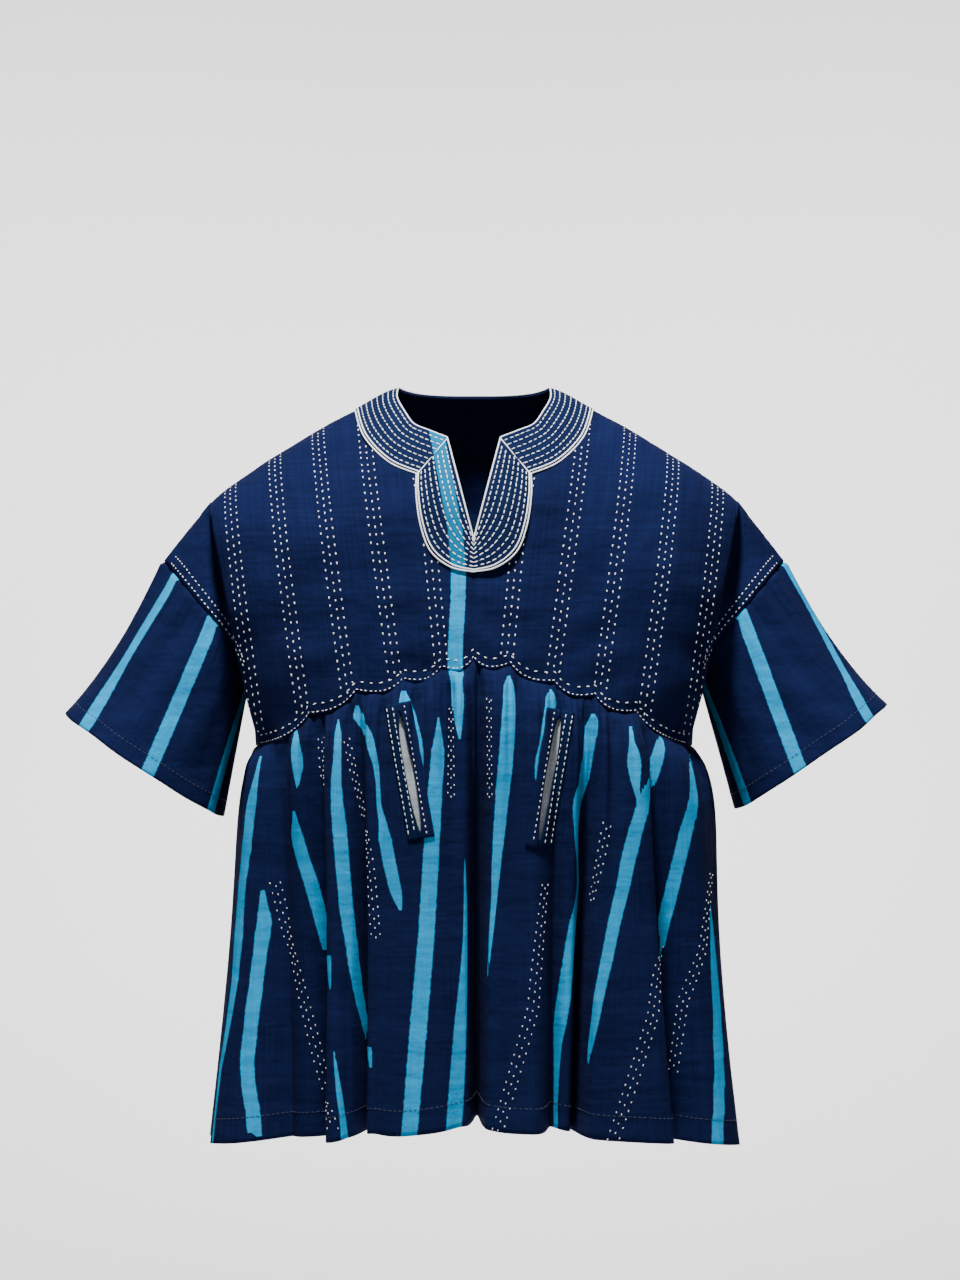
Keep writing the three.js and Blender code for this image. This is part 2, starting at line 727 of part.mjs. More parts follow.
// Outlines of a pocket's mouth, its two welts and its lining
function pocketOutlines(side) {
  const { top, foot } = POCKETS[side.name];
  const start = new THREE.Vector2(top.across, top.height);
  const down = new THREE.Vector2(foot.across, foot.height).sub(start);
  const outwards = new THREE.Vector2(-down.y, down.x).normalize();
  if (outwards.x * side.sign < 0) outwards.negate();
  const at = (share, out) => start.clone().addScaledVector(down, share).addScaledVector(outwards, out);
  const half = (share) => MOUTH_HALF * Math.sin(Math.PI * clamp(share, 0, 1)) ** 0.5;
  const shares = [0, 0.04, 0.14, 0.3, 0.5, 0.7, 0.86, 0.96, 1];
  const mouth = [
    ...shares.map((s) => at(s, half(s))),
    ...shares.slice(1, -1).reverse().map((s) => at(s, -half(s))),
  ];
  const welt = (sign) => [
    at(-0.06, sign * WELT_WIDTH),
    at(-0.06, sign * GAP),
    ...shares.map((s) => at(s, sign * (half(s) + GAP))),
    at(1.06, sign * GAP),
    at(1.06, sign * WELT_WIDTH),
  ];
  const length = down.length();
  const { inward, outward, over, under } = POCKET_LINING;
  const bag = [
    at(-over / length, -inward),
    at(-over / length, outward),
    at(1 + under / length, outward),
    at(1 + under / length, -inward),
  ];
  return { mouth, outerWelt: welt(1), innerWelt: welt(-1), bag };
}

const NAVY = 0x14244f;
const NAVY_SHADE = 0x101d42;
const BAND_BLUE = 0x1b2c57;
const WELT_BLUE = 0x0c1534;
const PALE_GREY = 0x9aa5ae;

const smock = new THREE.Group();
function add(name, geometry, color, roughness = 0.85) {
  const material = new THREE.MeshStandardMaterial({ color, roughness, metalness: 0 });
  const mesh = new THREE.Mesh(geometry, material);
  mesh.name = name;
  smock.add(mesh);
}

const trunk = {
  bodice_front: bodice(FRONT),
  bodice_back: bodice(BACK),
  skirt_front: skirt(FRONT),
  skirt_back: skirt(BACK),
};
const panels = { ...trunk, sleeve_left: sleeve(LEFT), sleeve_right: sleeve(RIGHT) };
const outward = outwardAt(Object.values(panels));
const clothWall = { from: -CLOTH, to: 0 };
const onCloth = { from: GAP, to: GAP + BAND };
const underCloth = { from: -CLOTH - GAP - LINING, to: -CLOTH - GAP };
const pockets = [LEFT, RIGHT].map((side) => ({ side, ...pocketOutlines(side) }));

for (const [name, sheet] of Object.entries(panels)) {
  const others = Object.values(panels).filter((other) => other !== sheet);
  const inTrunk = name in trunk;
  const neighbours = inTrunk ? others.filter((other) => Object.values(trunk).includes(other)) : [];
  let geometry = wall(sheet, clothWall, outward, others, neighbours);
  if (name === "skirt_front") {
    let solid = solidOf(geometry);
    for (const pocket of pockets) solid = solid.subtract(cutter(pocket.mouth));
    geometry = geometryOf(solid);
  }
  add(name, geometry, inTrunk ? NAVY : NAVY_SHADE);
}

const bands = { neck_band: neckBand(), slit_band: slitBand() };
for (const [name, sheet] of Object.entries(bands)) {
  const others = Object.values(bands).filter((other) => other !== sheet);
  add(name, wall(sheet, onCloth, outward, others), BAND_BLUE, 0.8);
}

const overSkirt = solidOf(wall(panels.skirt_front, onCloth, outward));
const behindSkirt = solidOf(wall(panels.skirt_front, underCloth, outward));
for (const { side, outerWelt, innerWelt, bag } of pockets) {
  const pocket = `pocket_${side.name}`;
  add(`${pocket}_outer_welt`, geometryOf(overSkirt.intersect(cutter(outerWelt))), WELT_BLUE, 0.8);
  add(`${pocket}_inner_welt`, geometryOf(overSkirt.intersect(cutter(innerWelt))), WELT_BLUE, 0.8);
  add(`${pocket}_lining`, geometryOf(behindSkirt.intersect(cutter(bag))), PALE_GREY, 0.9);
}

export default smock;
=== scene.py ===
"""A worn smock in hand-woven cloth: chest and back, gathered skirt, wide sleeves, neck bands, pockets.

Measures are millimetres in the frame's own axes: +Z is up, the front faces -Y, and +X is on the
right of the front view. Meshes are made in metres.
"""

import math
from dataclasses import dataclass

import bpy
import numpy as np
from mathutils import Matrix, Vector
from mathutils.bvhtree import BVHTree


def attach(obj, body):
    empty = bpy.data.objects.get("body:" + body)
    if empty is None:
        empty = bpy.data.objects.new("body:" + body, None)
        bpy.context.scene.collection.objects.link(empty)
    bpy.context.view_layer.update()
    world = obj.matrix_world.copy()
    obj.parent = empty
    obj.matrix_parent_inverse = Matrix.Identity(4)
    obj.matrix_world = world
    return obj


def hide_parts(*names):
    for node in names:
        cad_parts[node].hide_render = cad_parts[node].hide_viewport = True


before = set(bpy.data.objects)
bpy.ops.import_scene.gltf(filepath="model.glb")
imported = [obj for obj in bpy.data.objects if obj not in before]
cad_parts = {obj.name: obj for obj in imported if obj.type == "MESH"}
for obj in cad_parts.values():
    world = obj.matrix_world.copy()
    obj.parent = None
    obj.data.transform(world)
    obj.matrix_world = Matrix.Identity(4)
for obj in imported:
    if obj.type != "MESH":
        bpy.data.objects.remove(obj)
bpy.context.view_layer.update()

bl_info = {
    "name": "Woven smock",
    "version": (1, 0, 0),
    "blender": (4, 5, 0),
    "location": "3D View > Sidebar > Smock",
    "description": "Builds a worn smock in hand-woven striped cloth with bands, pockets and stitches",
    "category": "Add Mesh",
}

MM = 0.001
FRONT = -1
BACK = 1
LEFT = -1
RIGHT = 1
FACE_NAMES = {FRONT: "front", BACK: "back"}
PANEL_NAMES = {FRONT: "smock_chest", BACK: "smock_back"}
SIDE_NAMES = {LEFT: "left", RIGHT: "right"}

# Shoulder line seen from the front, from the middle of the neck outwards
SHOULDER_Y = 8.0
SHOULDER = {
    "across": (0, 66, 109, 162, 218, 241, 258, 289),
    "height": (1, 0, -19, -48, -83, -101, -121, -160),
}
SHOULDER_FALL = 130.0
SHOULDER_ROUND = 2.2
NAPE_RISE = 20.0
NAPE_HALF = 68.0

# Sections of the chest and back
TORSO_ROUND = 2.8
TORSO = {
    "height": (0, -50, -109, -160, -216, -281, -332),
    "half": (300, 284, 263, 249, 235, 219, 206),
    "front": (62, 88, 112, 124, 135, 141, 142),
    "back": (92, 97, 101, 104, 108, 113, 117),
}

# The soft fold beside each arm, and how far the cloth dips behind it
FOLD = {"height": (-330, -281, -216, -160, -105.5), "across": (195, 208, 222, 234, 246)}
FOLD_CROWDING = 1.7
FOLD_DEPTH = 24.0
FOLD_DIP = (16.4, 26.0)

# Armhole seam from the underarm up to the shoulder line, and the side seam below it
ARMHOLE = {
    "across": (207, 214, 228, 249, 270, 289),
    "front": (0, -25, -38, -35, -22, 8),
    "back": (0, 33, 50, 50, 38, 8),
    "height": (-264, -250, -228, -204, -180, -160),
}
UNDERARM = (207, -264)
SIDE_FOOT = (203, -332)

# Edges of the neck, the slit and their bands, as (across, height) rows
SLIT_EDGE = ((0, -144), (24, -51))
NECK_EDGE = ((24, -51), (41, -44), (54, -38), (62, -27), (70, -12), (70, 0))
SLIT_BAND_EDGE = ((0, -173), (20, -169), (38, -155), (47, -132), (51, -105), (51, -85))
NECK_BAND_EDGE = ((51, -85), (76, -74), (99, -50), (110, -20))
NAPE_EDGE = ((0, -4), (30, -4), (52, -3), (66, -1), (70, 0))
NAPE_BAND_EDGE = ((0, -36), (35, -37), (70, -37), (98, -29), (110, -20))

# Grid places of the chest and back: columns run round from the middle to the shoulder line
SEAM_END = 17
SHOULDER_COLUMN = 26
MITRE_COLUMN = 11
UNDERARM_COLUMN = 19
BAND_ROWS = 2
PANEL_ROWS = 8
CAP_ROWS = 4
CAP_SPREAD = 1.5
CAP_HOLLOW = 0.7

# Gather seam: the peaks of its scallops, with the grid step that each one has
SEAM_MIDDLE = -250.5
SCALLOPS = {
    LEFT: {
        "step": (0, 6, 12, 20, 28, 34),
        "across": (0, 29, 63, 105, 147, 195),
        "height": (SEAM_MIDDLE, -259, -270, -280, -301, -330),
    },
    RIGHT: {
        "step": (0, 6, 12, 20, 28, 34),
        "across": (0, 33, 72, 108, 145, 195),
        "height": (SEAM_MIDDLE, -256, -272, -284, -299, -330),
    },
}
SCALLOP_DIP = 7.0
SCALLOP_LEAN = 0.75
BACK_ARCH = 0.85
SEAM_STEPS = 34

# Skirt: its hem ring, its folds there, and the gathers under the seam
SKIRT_COLUMNS = 84
HEM = {"half": 243, "front": 165, "back": 142, "round": 2.4, "middle": -661, "side": -692}
HEM_FOLDS = {
    FRONT: {
        "share": (0, 0.042, 0.084, 0.127, 0.156, 0.187, 0.225, 0.25, 0.275, 0.3, 0.4, 0.475,
                  0.507, 0.54, 0.6, 0.645, 0.684, 0.727, 0.765, 0.82, 0.85, 0.888, 0.95, 1),
        "across": (-243, -236, -215, -177, -155, -136, -118, -108, -97, -87, -50, -9,
                   3, 15, 48, 69, 80, 92, 106, 158, 179, 211, 237, 243),
        "out": (2, -14, 18, -29, -20, -38, 20, 12, -40, 20, 28, 20,
                -56, 20, 27, -12, 3, -44, 14, 27, -36, 20, -13, 2),
    },
    BACK: {
        "share": (0, 0.05, 0.105, 0.16, 0.225, 0.28, 0.35, 0.42, 0.5,
                  0.57, 0.645, 0.71, 0.775, 0.84, 0.9, 0.955, 1),
        "across": (-243, -235, -212, -180, -146, -106, -70, -32, 6,
                   44, 80, 118, 152, 186, 214, 236, 243),
        "out": (2, -12, 17, -20, 21, -24, 23, -27, 22,
                -22, 25, -25, 19, -20, 17, -13, 2),
    },
}
RIDGE_BREADTH = 2.0
VALLEY_BREADTH = 0.8
VALLEY_PINCH = {FRONT: 0.7, BACK: 0.3}  # 0 leaves the bottom of a valley round, 1 creases it
RIDGE_GROWTH = 0.8  # how early down the skirt a fold stands out
VALLEY_GROWTH = {FRONT: 0.62, BACK: 0.8}
GATHERS = {"count": 15.5, "depth": 7.0, "start": 0.045, "end": 0.62}
SMALL_GATHERS = {"count": 57, "depth": 2.6, "start": 0.02, "end": 0.34}
GATHER_FORM = {"height": 1.9, "pinch": 0.012, "sunk": 1.05}
GATHER_DRIFT = 0.9
FOLD_CREASE = 1.3  # depth of the creases that run down the folds
HEM_RISE = 2.2  # how far the hem swings up and down
SIDE_SHARE = 24.0
PUFF = {LEFT: 9.0, RIGHT: 14.0, "peak": 0.15}
TUCK = 7.0  # how far the skirt runs up behind the chest
TUCK_ROWS = ((1.0, 3.2), (0.45, 2.6), (0.0, 1.5))  # share of the tuck, and how far inside the seam it lies
TUCK_TURN = (170.0, 205.0)  # across, where the tuck turns round the side
TURNED_UP = 1.2  # extra thickness of a hem
HEM_EDGE = 1.0  # half the height over which a hem thins out

# Sleeves: both corners of each opening seen from the front
SLEEVE_STEPS = 14
CUFFS = {
    LEFT: {"outer": (380, -301), "inner": (233, -398)},
    RIGHT: {"outer": (384, -293), "inner": (243, -391)},
}
CUFF_DEPTH = 70.0
CUFF_MIDDLE = 8.0
CUFF_ROUND = 2.3
SLEEVE_SAG = 11.0
SLEEVE_SLACK = 1.6
SLEEVE_HEM_WAVE = 2.4
SLEEVE_GATHERS = {"depth": 1.7, "end": 0.4}
SLEEVE_TUCK = {"share": 0.035, "edge_share": 0.02, "inward": 7.0}  # how it runs in behind the armhole seam

# Pockets: both ends of each slanted mouth seen from the front
POCKETS = {LEFT: ((-66, -296), (-47, -402)), RIGHT: ((76, -302), (58, -410))}
MOUTH_HALF = 3.6
MOUTH_CLEAR = 1.0  # how much wider the slit of the finer mesh is, on each side
WELT_WIDTH = 12.0
WELT_WAYS = {"outer": 1, "inner": -1}
WELT_CLEAR = 0.3  # between a welt and its mouth
WELT_LIFT = 1.5
WELT_ROLL = {"edge": 1.3, "edge_breadth": 0.28, "middle": 0.5, "rise": 20}
WELT_FLAT_END = 0.25  # share of the roll left at its ends
WELT_THICKNESS = 1.2
WELT_OVERRUN = 0.06  # past each end of the mouth, as a share of its length
LINING_REACH = {"inward": 16, "outward": 34, "over": 6, "under": 40}
LINING_LIFT = -2.6
LINING_SWELL = {"depth": 1.5, "breadth": 5.0, "pleat": 0.9, "pleat_turn": 1.5}
LINING_THICKNESS = 0.8

# How fine the meshes are
BODICE_MESH = {"low_columns": 8, "high_columns": 6, "band_rows": 7, "panel_rows": 64, "cap_rows": 25}
SKIRT_MESH = {"columns": 4, "rows": 96, "crowding": 1.1}
SLEEVE_MESH = {"steps": 8, "rows": 57}
BAND_MESH = {"columns": 7, "rows": 15}
WELT_MESH = {"rows": 57, "columns": 9}
LINING_MESH = {"rows": 49, "columns": 23}
WELD = 0.02  # points nearer than this become one
RAY_START = 400.0  # how far in front of the smock or behind it a place of the view is looked for

# What the sheets were cut to, in metres
SKIRT_LENGTH = 0.44
SKIRT_EASE = {"width": 1.02, "area": 1.05}  # cut over finished size, for the finer gathers
BAND_EASE = 1.02
WELT_LENGTH = 0.122
LINING_LENGTH = 0.16

# Woven stripes as paths of (across, height) points seen from the front
CHEST_STRIPE = ((-34, -45), (-24, -97), (-17, -133), (-13.5, -168), (-14, -200), (-16, -234), (-16.5, -256))
# Skirt stripes from the seam down: across, height and width as seen from the front
SKIRT_STRIPES = (
    ((-192, -338, 3), (-196.5, -360, 5), (-200, -380, 9), (-202.5, -400, 9), (-205.5, -420, 11),
     (-210.5, -460, 9), (-213, -500, 10), (-215.5, -540, 7), (-221.5, -580, 5), (-229, -620, 4),
     (-233.5, -660, 3), (-236.5, -692, 3)),
    ((-190, -453, 1), (-189.5, -462, 5), (-189, -472, 8), (-188, -487, 14), (-192, -515, 13),
     (-196, -547, 13), (-200, -579, 13), (-203, -611, 13), (-202, -632, 13), (-198, -653, 13),
     (-195.5, -678, 13)),
    ((-159, -312, 1), (-159, -324, 8), (-159, -331, 11), (-156.5, -345, 11), (-157, -352, 8),
     (-157, -368, 1)),
    ((-161, -383, 1), (-159.5, -395, 5), (-158, -409, 12), (-152, -430, 12.5), (-145, -451, 13),
     (-139, -473, 12), (-131, -505, 11), (-129.5, -515, 8), (-128, -526, 5), (-126, -544, 1)),
    ((-123, -592, 1), (-121, -610, 3), (-118, -632, 5), (-115, -653, 5), (-113, -674, 6)),
    ((-120, -304, 1), (-120, -317, 6), (-120.5, -338, 7), (-121.5, -359, 9), (-120.5, -381, 11),
     (-119, -395, 12.5), (-115, -441, 12), (-112, -473, 12), (-106.5, -505, 12), (-99.5, -558, 12),
     (-95, -580, 12), (-92, -600, 6), (-89.5, -612, 1)),
    ((-104, -290, 1), (-103, -296, 6), (-101, -303, 12), (-97.5, -310, 11), (-91.5, -324, 8),
     (-86, -345, 5), (-84.5, -360, 3.5), (-83.5, -380, 4), (-80, -395, 7), (-78, -409, 11.5),
     (-74, -430, 11.5), (-69.5, -450, 11), (-66.5, -462, 8), (-63.5, -474, 1)),
    ((-62, -276, 1), (-62, -281, 6), (-61, -288, 12), (-58, -296, 12), (-55.5, -303, 10), (-49, -324, 8),
     (-47, -338, 6), (-45, -350, 1)),
    ((-31, -300, 1), (-31, -317, 6), (-31.5, -331, 11), (-32, -345, 12), (-34, -366, 13), (-36, -402, 14),
     (-39, -451, 14), (-41.5, -494, 14), (-47, -558, 15), (-50.5, -600, 14.5), (-55, -653, 14),
     (-57, -678, 14)),
    ((-16, -244, 13), (-15, -281, 12.5), (-14, -296, 10), (-13, -310, 6), (-12, -324, 1)),
    ((-8, -426, 1), (-7, -460, 3), (-7, -494, 4.5), (-7.5, -515, 6.5), (-8.5, -537, 9), (-10.5, -568, 12),
     (-13, -600, 12.5), (-16, -643, 13.5), (-18.5, -680, 13)),
    ((31, -263, 1), (31, -267, 4), (31, -274, 9), (31.5, -288, 12), (31, -303, 13), (28, -345, 13),
     (25.5, -366, 12), (22.5, -402, 10), (20, -430, 8), (18, -462, 5), (15, -494, 4), (12, -530, 1)),
    ((68, -277, 1), (68, -281, 6), (68, -288, 11), (67, -303, 12.5), (64.5, -324, 13), (61, -338, 13),
     (58.5, -352, 10), (58, -359, 6), (58, -370, 1)),
    ((106, -297, 1), (106, -303, 7), (105, -310, 12), (101, -331, 12.5), (96, -359, 12),
     (93.5, -373, 11.5), (91.5, -388, 8), (91, -402, 4.5), (92, -430, 3), (92.5, -451, 6), (91, -473, 9.5),
     (86.5, -505, 12), (81.5, -537, 12), (76.5, -568, 12), (74, -590, 7), (73, -611, 5), (72, -643, 4),
     (72, -676, 4)),
    ((139, -308, 2), (140, -324, 5), (141.5, -333, 10), (142, -345, 12.5), (143, -360, 8), (145, -374, 3),
     (146, -382, 1)),
    ((167, -318, 1), (166, -324, 7), (166, -331, 11), (162, -345, 12.5), (152.5, -373, 12.5),
     (143, -402, 13), (136, -430, 13), (132, -451, 12), (124, -483, 11), (117.5, -515, 10.5),
     (110.5, -547, 9), (107, -568, 7.5), (103, -590, 5), (100, -612, 1)),
    ((195, -336, 2), (195.5, -352, 5), (197, -373, 8), (195, -388, 12), (190.5, -402, 12.5),
     (181, -441, 12), (173.5, -473, 12), (171, -483, 11), (170, -494, 8), (169, -505, 6), (167, -522, 1)),
    ((211.5, -460, 1), (214.5, -494, 4), (216.5, -526, 7), (219, -568, 9.5), (220.5, -622, 11),
     (219.5, -653, 11.5), (217.5, -688, 11)),
)
BACK_STRIPE = 104.0  # across, on the back above the seam
BACK_STRIPES = (0.055, 0.13, 0.2, 0.275, 0.35, 0.43, 0.505, 0.58, 0.655, 0.735, 0.805, 0.88, 0.95)
SLEEVE_STRIPES = {
    LEFT: (((-281, -181), (-359, -318)), ((-243, -225), (-299, -360)), ((-217, -300), (-242, -393))),
    RIGHT: (((297, -169), (366, -315)), ((247, -213), (300, -360)), ((221, -298), (252, -385))),
}
SLEEVE_BACK_STRIPES = (3.0, 7.0, 11.0)
NO_STRIPE = 1000.0
STRIPE_FULL = 13.0  # width of a stripe on flat cloth
STRIPE_STEEP = 0.6  # cloth turned further from the front than this narrows its stripe
STRIPE_REACH = 9.0  # along the cloth from its middle, past which a stripe ends
STRIPE_END = 1.5  # how sharply it ends there
STRIPE_BEHIND = 2.0  # cloth that lies further than this behind the foremost loses its stripe
LEAST_STRIPE = 0.5
STRIPE_START = {"width": 0.3, "fall": 0.075}  # stripes on the back are narrowed by the gathers at the seam

# Dotted lines: three rows of small stitches each
CHEST_LINES = (32, 76, 120, 163, 208)
LINE_ROWS = ((-5.6, 0.0), (0.0, 3.0), (5.6, 0.0))  # distance off the line, and where its stitches begin
LINE_JUMP = 9.0  # a line that steps further than this from row to row goes on as a new one
LINE_SQUEEZE = 0.55  # share of the space between its rows that the gathers leave at the skirt's seam
LINE_SPAN = (-4.0, -345.0, -2.0)  # first height of a line of the chest, last height, and the step
LINE_CLEAR = {"seam": 5.5, "shoulder": 3.0, "fold": 3.0, "band": 4.0}
LINE_UNDER_MITRE = (53, -92)  # across and height from which a line may pass below the corner of the bands
BAND_RUN_ON = (112, 10)  # the edge of the neck band, run on past the shoulder line
SKIRT_LINES = (
    ((-181, -442), (-123, -668)),
    ((64, -440), (52, -557), (19, -669)),
    ((167, -498), (158, -566), (122, -674)),
    ((215, -440), (205, -513), (187, -557), (178, -625)),
    ((120, -386), (103, -469)),
    ((-136, -312), (-133, -367)),
    ((-114, -316), (-95, -401), (-85, -504)),
    ((-20, -287), (-20, -376)),
    ((14, -278), (14, -376)),
)
BACK_LINES = (0.09, 0.165, 0.24, 0.31, 0.39, 0.47, 0.545, 0.62, 0.695, 0.77, 0.84, 0.915)

# The grain of the chest leans outwards towards the shoulder
GRAIN_LEAN = 0.135
GRAIN_FOOT = -222.0
GRAIN_SETTLE = 45.0
SLIT_FOOT = -141.0
SLIT_OPEN = 24.0 / 93.0

# How high the small forms of the chest and back stand
RELIEF = {
    "sunk": -0.55, "pucker": 1.1, "drag": 1.9, "ripple": 1.1,
    "swell": 2.6, "rolled": 0.9, "middle": -0.7,
}
RELIEF_BREADTH = {"sunk": 7.5, "pucker": 26, "rolled": 5, "middle": 2.2}
RELIEF_ON_TOP = {"share": 0.4, "fall": (0.0, 0.3), "across": (72, 110)}
RELIEF_START = (0.02, 0.3)  # fall below the shoulder line over which the small forms begin

# Stitches as (pitch, length, width), and the rows in which they lie
SEAM_ROWS = ((2.4, (4.4, 2.2, 0.9)), (9.5, (8.6, 3.0, 1.1)))  # height over the seam first
SEAM_STEP_GAP = 0.25
HEM_STITCH = (4.6, 3.1, 0.7)
HEM_ROW_IN = 2.0  # from the upper edge of the hem
CUFF_ROW = 0.89  # share of the sleeve's length
SKIRT_DOT = {"length": 0.72, "width": 0.75}  # against the dots of the chest
ARMHOLE_ROWS = (3.86, 3.6)  # rows of the strip beside the fold
ARMHOLE_FREE = (0.6, 0.3)  # columns without stitches at the underarm and at the shoulder line
ARMHOLE_STITCH = {"pitch": 0.62, "length": 2.2, "width": 1.1}  # pitch as a share of the chest's
BAND_STITCH_ROWS = (0.2, 0.44, 0.7, 0.96, 1.22, 1.48, 1.72)
BAND_CORD_ROWS = (0.0, 1.88, 2.0)
BAND_SWELL = 0.35
BAND_GAP = 0.3  # between the bands and the chest
BAND_ROW_WIDTH = 16.0
NECK_MIDDLE = (0.0, 10.0, -160.0)
MITRE_GAP = 0.12
CORD = {"sides": 8, "ply": 0.16, "twist": 1.5, "step": 0.9, "sunk": 0.9}
WELT_ROWS = {"outer": (5.0, 10.6), "inner": (5.4,)}
WELT_STITCHES = {"outer": (5.4, 3.2, 0.9), "inner": (5.4, 2.2, 0.9)}
WELT_FREE = 0.03  # how far these run past each end of the mouth, as a share of its length
STITCH = {"stand": 0.18, "flat": 0.8, "reach": 0.8, "lengths": (0.85, 1.15), "widths": (0.85, 1.1)}
STITCH_BREAK = 14.0  # a line that jumps further than this is cut
SAMPLES = {"band": 90, "armhole": 120, "welt": 70, "mitre": 24, "front": 300, "back": 160}
SKIRT_LINE_FREE = {"front": 2, "back": 5, "hem": 2}  # rows of the grid without dots at both ends of a line
SEEDS = {"chest": 11, "skirt": 21, "skirt_hem": 31, "bands": 41, "armholes": 51, "cuffs": 61, "pockets": 71}

# Cloth: threads and strips in metres, then how much its tone and its stripes' edges vary
WARP_PITCH = 0.00105
WEFT_PITCH = 0.0009
STRIP_WIDTH = 0.0432  # the narrow woven strips that the cloth is sewn from
TONES = {"warp": 0.16, "weft": 0.12, "cloud": 0.1, "strip": 0.05}
STRIPE_EDGE = 0.45
STRIPE_WOBBLE = 0.35
BAND_STRIPE_SHADE = 0.45  # share of the stripe's colour left on the bands: painted shade against the stronger light they catch
GROUND_TONES = (0.62, 1.42)
STRIPE_TONES = (0.8, 1.2)
WARP_STRETCH = (420.0, 14.0, 1.0)
WEFT_STRETCH = (9.0, 380.0, 1.0)
CREASE_STRETCH = (9.0, 9.0, 30.0)
CREASE_LEAN = 0.22
WEAVE_BUMP = (0.5, 0.00022)  # strength and height of each bump
CREASE_BUMP = (0.9, 0.0021)
THREAD_BUMP = (0.4, 0.0002)
CLOTH_SURFACE = {
    "Roughness": 0.82,
    "Specular IOR Level": 0.03,
    "Sheen Weight": 0.01,
    "Sheen Roughness": 0.45,
    "Sheen Tint": (0.45, 0.6, 1.0, 1.0),
}
THREAD_SURFACE = {"Roughness": 0.7, "Sheen Weight": 0.2}
PAPER_SURFACE = {"Roughness": 0.95, "Specular IOR Level": 0.1}

# Studio, in metres, watts and degrees
SWEEP = {"floor": -1.45, "back": 4.0, "front": -3.1, "half": 3.1, "top": 6.0, "bend": 1.2, "steps": 16}
LIGHTS = (
    {"name": "key_light", "place": (-0.15, -0.85, 2.0), "aim": (0.0, -0.12, -0.4),
     "size": 0.35, "power": 175.0, "spread": 180.0},
    {"name": "front_light", "place": (0.6, -2.9, 0.9), "aim": (0.0, 0.0, -0.4),
     "size": 0.4, "power": 9.0, "spread": 180.0},
    {"name": "left_backdrop_light", "place": (-2.7, 1.1, 1.7), "aim": (-0.5, 3.8, -0.2),
     "size": 1.0, "power": 58.0, "spread": 80.0},
    {"name": "right_backdrop_light", "place": (2.7, 1.1, 1.7), "aim": (0.5, 3.8, -0.2),
     "size": 1.0, "power": 58.0, "spread": 80.0},
)
AIR = {  # colour and strength
    "fill": ((0.93, 0.95, 1.0, 1.0), 0.02),
    "seen": ((0.97, 0.96, 0.97, 1.0), 1.6),
}
CAMERA = {"place": (0.0056, -3.0, -0.234), "sensor": 36.0, "half_view": 0.1984}  # half the width seen at 1 m


def lerp(a, b, share):
    return a + (b - a) * share


def smooth(low, high, at):
    share = np.clip((at - low) / (high - low), 0, 1)
    return share * share * (3 - 2 * share)


def unit(vectors):
    """Vectors brought to a length of 1."""
    return vectors / np.maximum(np.linalg.norm(vectors, axis=-1, keepdims=True), 1e-12)


def run_of(points):
    """Length along a line, from its first point."""
    return np.concatenate([[0], np.cumsum(np.linalg.norm(np.diff(points, axis=0), axis=1))])


def read_line(line, run, at):
    """Points of a line at some lengths along it."""
    return np.stack([np.interp(at, run, column) for column in line.T], -1)


def read(table, key, column, at):
    """One column of a table, read on a smooth curve that never overshoots its rows."""
    keys = np.array(table[key], float)
    values = np.array(table[column], float)
    if keys[0] > keys[-1]:
        keys, values = keys[::-1], values[::-1]
    slopes = np.diff(values) / np.diff(keys)
    before, after = slopes[:-1], slopes[1:]
    same_way = before * after > 0
    total = np.where(same_way, before + after, 1)
    inner = np.where(same_way, 2 * before * after / total, 0)
    tangents = np.concatenate([slopes[:1], inner, slopes[-1:]])
    at = np.asarray(at, float)
    i = np.clip(np.searchsorted(keys, at) - 1, 0, len(keys) - 2)
    width = keys[i + 1] - keys[i]
    t = np.clip((at - keys[i]) / width, 0, 1)
    return (
        (1 + 2 * t) * (1 - t) ** 2 * values[i]
        + t * (1 - t) ** 2 * width * tangents[i]
        + t * t * (3 - 2 * t) * values[i + 1]
        + t * t * (t - 1) * width * tangents[i + 1]
    )


def edge_curve(rows, samples=600):
    """A smooth edge through (across, height) rows, read at even shares of its length."""
    p = np.array(rows, float)
    last = len(p) - 1
    at = np.linspace(0, last, samples)
    i = np.minimum(at.astype(int), last - 1)
    t = (at - i)[:, None]
    start, end = p[i], p[i + 1]
    leave = (end - p[np.maximum(i - 1, 0)]) / 2
    arrive = (p[np.minimum(i + 2, last)] - start) / 2
    line = (
        (2 * start - 2 * end + leave + arrive) * t**3
        + (-3 * start + 3 * end - 2 * leave - arrive) * t**2
        + leave * t
        + start
    )
    run = run_of(line)
    return lambda share: read_line(line, run, share * run[-1])


def armhole_curve(outward, samples=600):
    """The armhole seam of one face on the right, read from the underarm to the shoulder line."""
    rows = np.stack([ARMHOLE["across"], ARMHOLE[FACE_NAMES[outward]], ARMHOLE["height"]], -1).astype(float)
    p = np.vstack([2 * rows[0] - rows[1], rows, 2 * rows[-1] - rows[-2]])
    last = len(rows) - 1
    at = np.linspace(0, last, samples)
    i = np.minimum(at.astype(int), last - 1)
    t = (at - i)[:, None]
    p0, p1, p2, p3 = (p[i + k] for k in range(4))
    gap = [np.linalg.norm(b - a, axis=1)[:, None] ** 0.5 for a, b in ((p0, p1), (p1, p2), (p2, p3))]
    leave = (p1 - p0) / gap[0] - (p2 - p0) / (gap[0] + gap[1]) + (p2 - p1) / gap[1]
    arrive = (p2 - p1) / gap[1] - (p3 - p1) / (gap[1] + gap[2]) + (p3 - p2) / gap[2]
    leave, arrive = leave * gap[1], arrive * gap[1]
    line = (
        p1
        + leave * t
        + (3 * (p2 - p1) - 2 * leave - arrive) * t**2
        + (2 * (p1 - p2) + leave + arrive) * t**3
    )
    shares = at / last
    return lambda share: read_line(line, shares, share)


